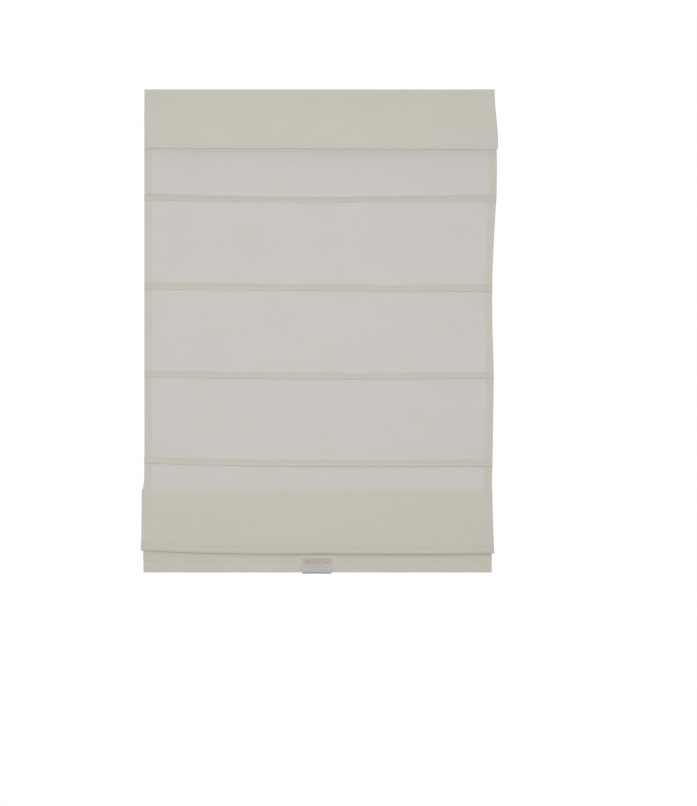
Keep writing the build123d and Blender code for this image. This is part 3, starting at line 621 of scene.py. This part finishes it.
def cloth_piece(name, body, path, left, right, push=push_of, lift=lift_of, node="shade_fabric", hem_seed=5):
    """One stretch of cloth with its side hems and their stitches."""
    global s_total
    path = list(path)
    centre, out, u, s = strip.points(path, left, right, push, lift)
    verts, faces, rim = solid_grid(centre, out, CLOTH_T)
    rows, cols = centre.shape[:2]
    uv = np.stack([np.tile(u, rows), np.repeat(s + s_total, cols)], axis=1) * MM
    uv = np.concatenate([uv, uv])
    mats = np.zeros(len(faces), int)
    faces = [tuple(f) for f in faces.tolist()]
    # Hem stitches, front and back, 3 mm in from the hem's free edge.
    wl, wr, off, n, nx, nn, _ = strip.c
    for sign in (0, 1):
        weight = wl if sign == 0 else wr
        dist = off if sign == 0 else -off
        front = np.flatnonzero((weight == 1.0) & (nn == -1.0) & (nx == 0.0) & (np.abs(dist - 16.0) < 0.1))[0]
        back = np.flatnonzero((weight == 1.0) & (nn == 1.0) & (nx == 0.0))
        back = back[np.argmin(np.abs(dist[back] - 16.0))]
        for k, col in enumerate((front, back)):
            line = centre[:, col] + out[:, col] * CLOTH_T / 2.0
            v, f, w = stitches(line, out[:, col], seed=hem_seed + 7 * sign + k)
            base = len(verts)
            verts = np.concatenate([verts, v])
            faces += [tuple(q + base for q in face) for face in f]
            uv = np.concatenate([uv, w])
            mats = np.concatenate([mats, np.ones(len(f), int)])
    o = make_object(name, verts, faces, [CLOTH, THREAD], uv, rim, mats)
    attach(o, body)
    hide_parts(node)
    length = float(s[-1]) * MM
    s_total += float(s[-1])
    cloth_pieces.append((o, length))
    return o


def folds_up(o):
    """Gives the stretch a mesh of its own."""
    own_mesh(o)


def front_edges(path):
    z = np.array([p[1] for p in path])
    return left_edge(z), right_edge(z)


BODIES = ["headrail_frame", "tuck_1", "tuck_2", "tuck_3", "lower_shade"]

# The head: on its tape under the headrail, then down.
head = filled(rounded([(-24.0, -42.2, 0), (-4.0, -42.2, 1.5), (-4.0, -46.0, 0)]), 3.0)
# Its side edges draw in a little under the rail, behind the valance's.
head_left, head_right = front_edges(head)
draw_in = 6.5 * np.clip((-4.0 - np.array([p[0] for p in head])) / 20.0, 0.0, 1.0) ** 0.6
cloth_piece("shade_cloth_head", "headrail_frame", head, head_left + draw_in, head_right - draw_in)

# Tuck in section, round its batten, from above the seam to below it.
def tuck_path(zs):
    return rounded([
        (-4.0, zs + RIGID_UP, 0), (-4.0, zs + 5.0, 3.0), (-4.5, zs + 2.2, 2.0), (-6.6, zs - 2.8, 4.0), (-8.7, zs - 13.0, 2.0),
        (-7.9, zs - 14.0, 1.0), (-6.3, zs - 14.0, 0.6), (-4.95, zs + 0.1, 0.4), (-4.1, zs + 0.1, 0.4),
        (-4.0, zs - RIGID_DOWN, 0)])


top = -46.0
for k, zs in enumerate(STITCH):
    end = zs + RIGID_UP
    mid = (top + end) / 2.0
    up = filled([(SHADE_Y, top), (SHADE_Y, mid)], 5.0)
    low = filled([(SHADE_Y, mid), (SHADE_Y, end)], 5.0)
    a = cloth_piece("shade_cloth_panel_%d_upper" % (k + 1), BODIES[k], up, *front_edges(up), hem_seed=20 + 10 * k)
    folds_up(a)
    b = cloth_piece("shade_cloth_panel_%d_lower" % (k + 1), BODIES[k + 1], low, *front_edges(low), hem_seed=24 + 10 * k)
    folds_up(b)
    if k < 3:
        path = filled(tuck_path(zs), 3.0)
        cloth_piece("shade_cloth_tuck_%d" % (k + 1), BODIES[k + 1], path, *front_edges(path), hem_seed=28 + 10 * k)
    top = zs - RIGID_DOWN

# From the fourth tuck down: the last panel, the front fold, the crease behind it and
# the pocket round the bottom rail.
zs = STITCH[3]
front_run = filled(tuck_path(zs), 3.0)[:-1]
front_run += filled(rounded([(-4.0, zs - RIGID_DOWN, 0), (-4.0, FOLD_Z + 1.5, 0)]), 5.0)
turn = rounded([(-4.0, FOLD_Z + 3.0, 0), (-4.0, FOLD_Z, 1.5), (-1.0, FOLD_Z, 1.5), (-1.0, FOLD_Z + 3.0, 0)])[1:-1]
rear_run = filled(rounded([
    (-1.0, FOLD_Z + 1.5, 0), (-1.0, -1144.0, 30.0), (0.8, -1120.0, 60.0), (2.0, -1090.0, 90.0), (2.2, -1060.0, 120.0),
    (1.4, -1030.0, 90.0), (0.4, -1012.0, 20.0), (0.4, CREASE_Z, 2.4), (5.2, CREASE_Z, 2.4), (5.2, -1012.0, 20.0),
    (6.4, -1030.0, 90.0), (7.4, -1060.0, 120.0), (7.7, -1096.0, 120.0), (6.6, -1126.0, 40.0), (4.4, -1150.0, 20.0), (3.6, -1160.9, 3.0),
    (0.6, -1165.8, 3.0), (0.6, -1175.5, 0), (0.6, -1177.3, 0), (0.6, -1179.1, 0), (0.6, -1180.9, 0), (0.6, -1182.7, 0),
    (0.6, BOTTOM_Z, 1.4), (7.3, BOTTOM_Z, 1.4), (7.3, -1170.8, 1.5), (3.5, -1168.2, 2.0), (3.0, -1164.0, 0)]), 4.0)
base = front_run + turn[1:] + rear_run[1:]
clean = [base[0]]
for q in base[1:]:
    if math.dist(q, clean[-1]) > 0.05:
        clean.append(q)
base = clean
bz = np.array([p[1] for p in base])
by = np.array([p[0] for p in base])
turn_row = int(np.argmin(bz + (np.arange(len(bz)) > len(front_run) + 14) * 1e4))
crease_row = turn_row + int(np.argmax(bz[turn_row:]))
bottom_row = int(np.argmin(bz))
index = np.arange(len(base))
behind = index > turn_row
beyond = index > crease_row
rear_left = table([(-1000, -443.2), (-1080, -444.4), (-1160, -445.2)], 8.0)
rear_right = table([(-1000, 434.4), (-1080, 436.4), (-1160, 439.2)], 8.0)
last_left = table([(-1000, -443.2), (-1080, -443.2), (-1150, -441.0), (-1172, -439.6), (-1207, -439.2)], 6.0)
last_right = table([(-1000, 434.4), (-1080, 434.6), (-1150, 433.6), (-1172, 433.2), (-1207, 433.2)], 6.0)
bl = np.where(beyond, last_left(bz), np.where(behind, rear_left(bz), left_edge(bz)))
br = np.where(beyond, last_right(bz), np.where(behind, rear_right(bz), right_edge(bz)))
soft = np.array([0.25, 0.5, 0.25])
for _ in range(4):
    bl[1:-1] = np.convolve(bl, soft, mode="valid")
    br[1:-1] = np.convolve(br, soft, mode="valid")

HANDLE_X = -4.8
BAND = [(0.50, 520.0, 1.1), (0.42, 214.0, 3.3), (0.26, 97.0, 0.7)]


def push_bottom(x, z):
    """The front layer of the fold bellies forward; the layers behind it hang loosely."""
    total = push_of(x, z)
    rows = np.arange(len(base))[:, None]
    t = np.clip((-985.0 - z) / 160.0, 0.0, 1.0)
    belly = -(1.5 + waves(x + 0.3 * z, BAND)) * np.sin(math.pi * t) ** 1.2
    belly = belly - 6.3 * np.exp(-((z + 1151.0) / 8.4) ** 2) * ease((z + 1160.8) / 5.0)
    loose = 0.5 * waves(x - 0.4 * z, [(0.6, 410.0, 0.5), (0.4, 170.0, 2.0)]) * np.sin(math.pi * t) ** 1.2
    # The pocket stands a little proud along the rail's upper edge, except where the handle presses it flat.
    proud = -2.6 * ease((z + 1182.6) / 6.0) * ease((-1165.0 - z) / 8.0) * ease((np.abs(x - HANDLE_X) - 40.0) / 14.0)
    in_front = (rows > crease_row) & (rows < bottom_row)
    return total + np.where(rows <= turn_row, belly, loose) + np.where(in_front, proud, 0.0)


bottom = cloth_piece("shade_cloth_lower", "lower_shade", base, bl, br, push=push_bottom, hem_seed=80)
shade_length = sum(v for _, v in cloth_pieces)
# Behind the fold's front layer the same cloth gets a copy of its material with a yellower, less blue through colour:
# painted light for the layers inside the fold.
bottom.data.materials.append(CLOTH_INNER_PAINTED_LIGHT)
for face in bottom.data.polygons:
    if face.material_index == 0 and -0.0022 < face.center.y < 0.0040 and -1.170 < face.center.z < -0.995:
        face.material_index = 2

# The valance, with its lower edge turned up behind.
VAL_BOTTOM = -146.9
val = rounded([(VALANCE_Y, -2.0, 0), (VALANCE_Y, VAL_BOTTOM, 0.5), (VALANCE_Y + 1.0, VAL_BOTTOM, 0.5),
               (VALANCE_Y + 1.0, -133.0, 0)])
val = filled(val, 4.0)
vz = np.array([p[1] for p in val])
val_dip = table([(-445, -0.6), (-200, -1.2), (0, -1.8), (200, -2.6), (445, -3.9)], 25.0)
VALANCE_WAVES = [(0.50, 560.0, 0.9), (0.36, 233.0, 2.5), (0.18, 111.0, 5.0)]


def push_valance(x, z):
    return waves(x + 0.2 * z, VALANCE_WAVES) * ease((-32.0 - z) / 100.0) * 1.1


def lift_valance(x, z):
    return val_dip(x) * ease((-30.0 - z) / 105.0)


v_left = -433.4 - 0.4 * ease((-30.0 - vz) / 110.0)
v_right = 438.2 + 8.4 * ease((-10.0 - vz) / 120.0)
strip = Strip(7.0)
s_total = 3.0 * 1000.0
valance = cloth_piece("valance_cloth", "headrail_frame", val, v_left, v_right, push_valance, lift_valance,
                      node="valance_fabric", hem_seed=120)


# ------------------------------------------------------------------ seams
def seam(name, body, xs, y, z, normal, seed=3, pitch=3.6):
    """A row of stitches along the width at (y, z), which follow the cloth."""
    line = np.stack([xs, y, z], axis=1)
    n = np.broadcast_to(np.array(normal, float), line.shape)
    v, f, uv = stitches(line, n, pitch=pitch, seed=seed)
    o = make_object(name, v, f, [THREAD], uv)
    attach(o, body)
    return o


xs = np.linspace(-434.0, 431.0, 260)
for k, zs in enumerate(STITCH):
    z = np.full_like(xs, zs)
    y = -5.0 - CLOTH_T / 2.0 + push_of(xs, z)
    zz = zs + 1.0 + lift_of(xs, z)
    front = seam("tuck_%d_seam_front" % (k + 1), BODIES[k + 1], xs, y, zz, (0.0, -1.0, 0.0), seed=200 + k)
    z = np.full_like(xs, zs - 1.8)
    seam("tuck_%d_seam_back" % (k + 1), BODIES[k + 1], xs, -4.0 + CLOTH_T / 2.0 + push_of(xs, z),
         zs - 1.8 + lift_of(xs, z), (0.0, 1.0, 0.0), seed=220 + k)
z = np.full_like(xs, -134.5)
seam("valance_seam", "headrail_frame", xs, VALANCE_Y - CLOTH_T / 2.0 + push_valance(xs, z), z + lift_valance(xs, z),
     (0.0, -1.0, 0.0), seed=240)
seam("valance_seam_back", "headrail_frame", xs, VALANCE_Y + 1.0 + CLOTH_T / 2.0 + push_valance(xs, z), z + lift_valance(xs, z),
     (0.0, 1.0, 0.0), seed=241)
z = np.full_like(xs, -1166.0)
seam("rail_pocket_seam", "lower_shade", xs, 3.24 + CLOTH_T / 2.0 + 0 * xs, z + 0.0, (0.0, 1.0, 0.1), seed=242)


# ------------------------------------------------------------------ battens and rod
def bar(name, body, node, y0, z0, width, height, half_len, radius, mat, dip=None, ends=2.0, step=8.0, tilt=0.0):
    """A long flat bar with rounded section and rounded ends that follows the cloth's dip."""
    section = []
    for cy, cz, a0 in ((width / 2 - radius, height / 2 - radius, 0), (-width / 2 + radius, height / 2 - radius, 90),
                       (-width / 2 + radius, -height / 2 + radius, 180), (width / 2 - radius, -height / 2 + radius, 270)):
        for k in range(4):
            a = math.radians(a0 + 30 * k)
            section.append((cy + radius * math.cos(a), cz + radius * math.sin(a)))
    section = np.array(section)
    n = int(2 * (half_len - ends) / step)
    x = np.concatenate([-half_len + ends - ends * np.cos(np.linspace(0, math.pi / 2, 5)),
                        np.linspace(-half_len + ends, half_len - ends, n + 1)[1:-1],
                        half_len - ends + ends * np.sin(np.linspace(0, math.pi / 2, 5))])
    near = np.clip((half_len - np.abs(x)) / ends, 0.0, 1.0)
    pinch = np.sqrt(np.clip(1.0 - (1.0 - near) ** 2, 0.0, 1.0))
    k = len(section)
    verts = []
    for xi, q in zip(x, pinch):
        dz = float(dip(np.array([xi]))[0]) if dip is not None else 0.0
        s = section.copy()
        s[:, 1] = np.sign(s[:, 1]) * np.maximum(np.abs(s[:, 1]) - (1.0 - q) * min(ends, height / 2 - 0.2), 0.02)
        s[:, 0] *= 0.55 + 0.45 * q
        verts += [(xi, y0 + a + tilt * b, z0 + dz + b - tilt * a) for a, b in s]
    faces = []
    for i in range(len(x) - 1):
        for j in range(k):
            a, b = i * k + j, i * k + (j + 1) % k
            faces.append((a, b, b + k, a + k))
    faces.append(tuple(range(k))[::-1])
    faces.append(tuple((len(x) - 1) * k + j for j in range(k)))
    o = make_object(name, verts, faces, [mat])
    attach(o, body)
    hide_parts(node)
    return o


for k, zs in enumerate(STITCH):
    dip = lambda x, k=k: 0.5 * (seam_dip[k](x) + edge_dip[k](x))
    bar("batten_%d" % (k + 1), BODIES[k + 1], "rib_batten_%d" % (k + 1), -6.47, zs - 8.0, 1.5, 8.6, 431.0, 0.65,
        BATTEN, dip, tilt=0.145)
bar("batten_5", "lower_shade", "rib_batten_5", -2.5, -1153.0, 1.5, 9.2, 431.0, 0.65, BATTEN,
    lambda x: fold_dip(x) * 0.9)


# ------------------------------------------------------------------ tubes: cords, rings' threads
def tube(points, radius, sides=10, closed_ends=True):
    """Points, faces and uv of a round tube along points (mm)."""
    p = np.asarray(points, float)
    t = np.gradient(p, axis=0)
    t /= np.linalg.norm(t, axis=1)[:, None]
    ref = np.array([1.0, 0.0, 0.0]) if abs(t[0, 0]) < 0.9 else np.array([0.0, 1.0, 0.0])
    frames = []
    n = ref - (ref @ t[0]) * t[0]
    n /= np.linalg.norm(n)
    for i in range(len(p)):
        n = n - (n @ t[i]) * t[i]
        n /= np.linalg.norm(n)
        frames.append((n.copy(), np.cross(t[i], n)))
    s = np.concatenate([[0.0], np.cumsum(np.linalg.norm(np.diff(p, axis=0), axis=1))])
    verts, uv = [], []
    for i in range(len(p)):
        for k in range(sides):
            a = 2 * math.pi * k / sides
            verts.append(p[i] + radius * (math.cos(a) * frames[i][0] + math.sin(a) * frames[i][1]))
            uv.append((k / sides, s[i] * MM))
    faces = []
    for i in range(len(p) - 1):
        for k in range(sides):
            a, b = i * sides + k, i * sides + (k + 1) % sides
            faces.append((a, b, b + sides, a + sides))
    if closed_ends:
        faces.append(tuple(range(sides))[::-1])
        faces.append(tuple((len(p) - 1) * sides + k for k in range(sides)))
    return verts, faces, uv


def spline_points(route):
    """The points of a smooth NURBS spline with route's points as its control points."""
    cu = bpy.data.curves.new("route", "CURVE")
    cu.dimensions = "3D"
    sp = cu.splines.new("NURBS")
    sp.points.add(len(route) - 1)
    for q, r in zip(sp.points, route):
        q.co = (*r, 1.0)
    sp.order_u = 3
    sp.use_endpoint_u = True
    sp.resolution_u = 12
    holder = bpy.data.objects.new("route", cu)
    me = bpy.data.meshes.new_from_object(holder)
    line = [tuple(v.co) for v in me.vertices]
    bpy.data.objects.remove(holder)
    bpy.data.curves.remove(cu)
    bpy.data.meshes.remove(me)
    return line


# Each lift cord leaves the front of its spool, goes through the guide and the four
# rings, and ends in its toggle. Its spare turns lie side by side on the spool.
SPOOL = (11.4, -22.0)
for side, x in (("left", -CORD_X), ("right", CORD_X)):
    route = [(x * MM, CORD_Y * MM, z * MM) for z in (-22.0, -41.2, -266.0, -487.0, -707.0, -925.0, -995.8)]
    line = spline_points(route)
    v, f, uv = tube(np.array(line) / MM, 0.6, 10)
    o = make_object("lift_cord_%s_drop" % side, v, f, [CORD], uv)
    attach(o, "headrail_frame")
    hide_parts("lift_cord_%s" % side)
    turns = []
    for k in range(4 * 12 + 1):
        a = math.radians(30.0 * k)
        turns.append(((x - 2.5 + 4.9 * k / 48.0) * MM, (SPOOL[0] - 8.96 * math.cos(a)) * MM,
                      (SPOOL[1] + 8.96 * math.sin(a)) * MM))
    v, f, uv = tube(np.array(spline_points(turns)) / MM, 0.6, 8)
    w = make_object("lift_cord_%s_turns" % side, v, f, [CORD], uv)
    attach(w, "drive_shaft")
    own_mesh(o)

# Threads that sew the rings to the back of each tuck.
for k, zs in enumerate(STITCH):
    verts, faces, uv = [], [], []
    for x in (-CORD_X, CORD_X):
        lift = float(lift_of(np.array([x]), np.array([zs]))[0])
        for j, dx in enumerate((-0.9, -0.3, 0.35, 0.95)):
            pts = []
            for a in np.linspace(-70.0, 250.0, 15):
                r = math.radians(a)
                pts.append((x + dx * (1.0 + 0.15 * math.sin(r)), -2.9 + 1.25 * math.sin(r + 0.2),
                            zs + lift * 0.4 + 1.25 * math.cos(r)))
            v, f, w = tube(pts, 0.16, 6)
            b = len(verts)
            verts += v
            faces += [tuple(q + b for q in g) for g in f]
            uv += w
    o = make_object("ring_threads_%d" % (k + 1), verts, faces, [THREAD], uv)
    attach(o, BODIES[k + 1])


# ------------------------------------------------------------------ tapes
def tape(name, node, body, y0, y1, z0, z1, half_len, flat_axis):
    """Hook tape and loop tape pressed together: two bands with soft edges, one a little offset."""
    verts, faces, mats = [], [], []
    thick = (y1 - y0) if flat_axis == "y" else (z1 - z0)
    for layer in (0, 1):
        lo, hi = (0.02, 0.49) if layer == 0 else (0.51, 0.98)
        shift = 0.25 if layer else -0.1
        n = 120
        xs = np.linspace(-half_len, half_len, n + 1)
        ring = []
        for x in xs:
            wob = 0.12 * math.sin(x / 23.0 + layer * 2.0) + 0.08 * math.sin(x / 7.7)
            if flat_axis == "y":
                a0, a1 = y0 + thick * lo, y0 + thick * hi
                b0, b1 = z0 + 0.3 + shift + wob, z1 - 0.3 + shift * 0.6 + wob
            else:
                a0, a1 = z0 + thick * lo, z0 + thick * hi
                b0, b1 = y0 + 0.3 + shift + wob, y1 - 0.3 + shift * 0.6 + wob
            r = min(0.3, (a1 - a0) * 0.45)
            sec = [(a0 + r, b0), (a0, b0 + r), (a0, b1 - r), (a0 + r, b1), (a1 - r, b1), (a1, b1 - r), (a1, b0 + r), (a1 - r, b0)]
            ring.append([(x, a, b) if flat_axis == "y" else (x, b, a) for a, b in sec])
        b = len(verts)
        verts += [q for r in ring for q in r]
        k = 8
        for i in range(n):
            for j in range(k):
                a, c = b + i * k + j, b + i * k + (j + 1) % k
                face = (a, a + k, c + k, c)
                faces.append(face if flat_axis == "y" else face[::-1])
                mats.append(layer)
        end0 = tuple(b + j for j in range(k))
        end1 = tuple(b + n * k + j for j in range(k))
        faces.append(end0 if flat_axis == "y" else end0[::-1])
        faces.append(end1[::-1] if flat_axis == "y" else end1)
        mats += [layer, layer]
    o = make_object(name, verts, faces, [HOOK, LOOP], face_mat=mats, smooth=True)
    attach(o, body)
    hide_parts(node)
    return o


tape("valance_fastening", "valance_tape", "headrail_frame", -30.2, -28.5, -30.0, -6.0, 428.5, "y")
tape("shade_fastening", "shade_tape", "headrail_frame", -23.5, -6.5, -41.9, -40.0, 428.0, "z")


# ------------------------------------------------------------------ pull handle
def ribbon(points, thickness):
    """Closed outline of a band of even thickness along points."""
    p = np.array(points, float)
    t = np.gradient(p, axis=0)
    t /= np.linalg.norm(t, axis=1)[:, None]
    n = np.stack([-t[:, 1], t[:, 0]], axis=1) * thickness / 2.0
    return np.concatenate([p + n, (p - n)[::-1]])


HANDLE_W, HANDLE_R = 73.0, 3.0


def plate(points, thickness, wide, corner, ends=6):
    """A bent plate: its section's middle line carried along the width, with rounded corners."""
    p = np.array(points, float)
    s = np.concatenate([[0.0], np.cumsum(np.linalg.norm(np.diff(p, axis=0), axis=1))])
    q = np.linspace(0, math.pi / 2, ends + 1)
    stations = np.concatenate([-wide / 2 + corner * (1 - np.cos(q)), np.linspace(-wide / 2 + corner, wide / 2 - corner, 18)[1:-1],
                               wide / 2 - corner * (1 - np.sin(q))])
    stations = np.unique(np.round(stations, 4))
    verts, faces, half = [], [], len(p)
    for x in stations:
        inset = max(0.0, abs(x) - (wide / 2 - corner))
        cut = corner - math.sqrt(max(0.0, corner ** 2 - inset ** 2))
        at = cut + (s[-1] - 2 * cut) * s / s[-1]
        line = np.stack([np.interp(at, s, p[:, j]) for j in (0, 1)], axis=1)
        verts += [(x, a, b) for a, b in ribbon(line, thickness * (1.0 - 0.28 * (inset / corner) ** 3))]
    k = 2 * half
    for i in range(len(stations) - 1):
        for j in range(k):
            a, b = i * k + j, i * k + (j + 1) % k
            faces.append((a, b, b + k, a + k))
    for i, flip in ((0, True), (len(stations) - 1, False)):
        for j in range(half - 1):
            face = (i * k + j, i * k + j + 1, i * k + k - 2 - j, i * k + k - 1 - j)
            faces.append(face[::-1] if flip else face)
    return verts, faces


def crisp(limit):
    """Marks edges between faces that meet at more than limit degrees."""
    def go(o):
        import bmesh
        bm = bmesh.new()
        bm.from_mesh(o.data)
        bmesh.ops.recalc_face_normals(bm, faces=bm.faces)
        for e in bm.edges:
            e.smooth = not (len(e.link_faces) == 2 and e.calc_face_angle(0.0) > math.radians(limit))
        bm.to_mesh(o.data)
        bm.free()
    return go


curve = rounded([(-0.9, -1173.8, 0), (-0.9, -1208.3, 3.0), (-12.6, -1208.3, 3.2), (-13.4, -1195.0, 0)], 12.0)
verts, faces = plate(filled(curve, 2.0), 1.8, HANDLE_W, HANDLE_R)
handle = make_object("pull_handle_moulding", verts, faces, [CLEAR, EDGE, LIP])
crisp(40.0)(handle)
# The bottom bend and the lip's lower edge get the dark edge material, which is painted shade; the lip's front gets the
# lip material.
for face in handle.data.polygons:
    if face.center.z < -1.2056 and face.center.y < -0.0118 or face.center.z < -1.2086:
        face.material_index = 1
    elif face.center.y < -0.0085:
        face.material_index = 2
for v in handle.data.vertices:
    v.co.x += HANDLE_X * MM
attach(handle, "lower_shade")
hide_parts("pull_handle")
# Ribs for the fingertips at both ends of the lip: low lens shapes, sunk in it a little.
verts, faces = [], []
for x in (-32.8, -27.6, -22.4, 22.4, 27.6, 32.8):
    base_i = len(verts)
    for i in range(11):
        polar = math.pi * i / 10.0
        for k in range(16):
            a = 2.0 * math.pi * k / 16.0
            verts.append((HANDLE_X + x + 2.2 * math.sin(polar) * math.cos(a),
                          -13.75 - 0.8 * math.sin(polar) * math.sin(a),
                          -1200.8 + 4.6 * math.cos(polar)))
    for i in range(10):
        for k in range(16):
            a, b = base_i + i * 16 + k, base_i + i * 16 + (k + 1) % 16
            faces.append((a, a + 16, b + 16, b))
ribs = make_object("pull_handle_ribs", verts, faces, [LIP])
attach(ribs, "lower_shade")
# A thin, darker brownish band along its top.
verts, faces = plate([(-2.0, z) for z in np.linspace(-1173.6, -1184.6, 7)], 0.5, 71.6, 2.0)
verts = [(x + HANDLE_X, y, z) for x, y, z in verts]
pad = make_object("pull_handle_pad", verts, faces, [HANDLE_DARK_BAND])
crisp(40.0)(pad)
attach(pad, "lower_shade")

# ------------------------------------------------------------------ finishes of the CAD nodes
FINISH = {
    "headrail": RAIL_PAINT, "headrail_cap_left": CAP_WHITE, "headrail_cap_right": CAP_WHITE,
    "bracket_left": GALVANISED, "bracket_right": GALVANISED,
    "bracket_latch_left": ACETAL, "bracket_latch_right": ACETAL,
    "spool_cradle_left": NYLON, "spool_cradle_right": NYLON, "cord_guide_left": NYLON, "cord_guide_right": NYLON,
    "cord_spool_left": ACETAL, "cord_spool_right": ACETAL, "lift_shaft": BRIGHT,
    "motor_housing": MOTOR_GREY, "motor_cover": MOTOR_GREY, "motor_axle": BRIGHT, "motor_spring": SPRING,
    "output_drum": DRUM_BLACK, "storage_drum": DRUM_BLACK,
    "rear_rod": ROD, "cord_toggle_left": CAP_WHITE, "cord_toggle_right": CAP_WHITE,
    "bottom_rail": MILL, "rail_cap_left": CAP_WHITE, "rail_cap_right": CAP_WHITE, "handle_screws": SCREW,
}
for k in range(1, 5):
    FINISH["rib_rings_%d" % k] = RING
for name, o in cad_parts.items():
    mat = FINISH.get(name, CAP_WHITE)
    if not o.data.materials:
        o.data.materials.append(mat)
    for i in range(len(o.data.materials)):
        o.data.materials[i] = mat

# ------------------------------------------------------------------ floor and light
floor_t = Tree("floor_paint")
co = floor_t.add("ShaderNodeTexCoord").outputs["Object"]
grain = floor_t.noise(co, 3.0, 3.0, 0.5)
p = floor_t.add("ShaderNodeBsdfPrincipled", Roughness=0.9)
p.inputs["Specular IOR Level"].default_value = 0.1
floor_t.put(p.inputs["Base Color"], floor_t.ramp(grain, around((0.80, 0.80, 0.79), 0.01)))
floor_mat = floor_t.done(p)
floor = make_object("floor", [(-7000, -7000, -2600), (7000, -7000, -2600), (7000, 3000, -2600), (-7000, 3000, -2600)],
                    [(0, 1, 2, 3)], [floor_mat])

# White all round behind the blind. The side that faces it is dimmer, and dims towards
# the ground.
world = bpy.data.worlds.new("world")
scene.world = world
world.use_nodes = True
wt = world.node_tree
sky = wt.nodes["Background"]
way = wt.nodes.new("ShaderNodeTexCoord")
parts = wt.nodes.new("ShaderNodeSeparateXYZ")
wt.links.new(way.outputs["Generated"], parts.inputs[0])


def fade(socket, low, high, a, b):
    n = wt.nodes.new("ShaderNodeMapRange")
    n.interpolation_type = "SMOOTHSTEP"
    for key, value in (("From Min", low), ("From Max", high), ("To Min", a), ("To Max", b)):
        if isinstance(value, bpy.types.NodeSocket):
            wt.links.new(value, n.inputs[key])
        else:
            n.inputs[key].default_value = value
    wt.links.new(socket, n.inputs["Value"])
    return n.outputs[0]


front_glow = fade(parts.outputs["Z"], -0.8, 0.9, *WORLD_FRONT)
glow = fade(parts.outputs["Y"], -0.35, 0.35, front_glow, 1.0)
wt.links.new(glow, sky.inputs["Strength"])
sky.inputs["Color"].default_value = (1.0, 1.0, 1.0, 1.0)


def area_light(name, place, target, size, power, colour=(1.0, 1.0, 1.0)):
    d = bpy.data.lights.new(name, "AREA")
    d.shape = "RECTANGLE"
    d.size, d.size_y = size
    d.energy = power
    d.color = colour
    o = bpy.data.objects.new(name, d)
    scene.collection.objects.link(o)
    o.location = place
    v = np.array(target, float) - np.array(place, float)
    v /= np.linalg.norm(v)
    o.rotation_euler = Vector(v).to_track_quat("-Z", "Y").to_euler()
    o.visible_camera = False
    return o


area_light("key", (-0.14, -3.0, -0.57), (-0.12, 0.0, 0.42), (2.4, 0.7), KEY_POWER)
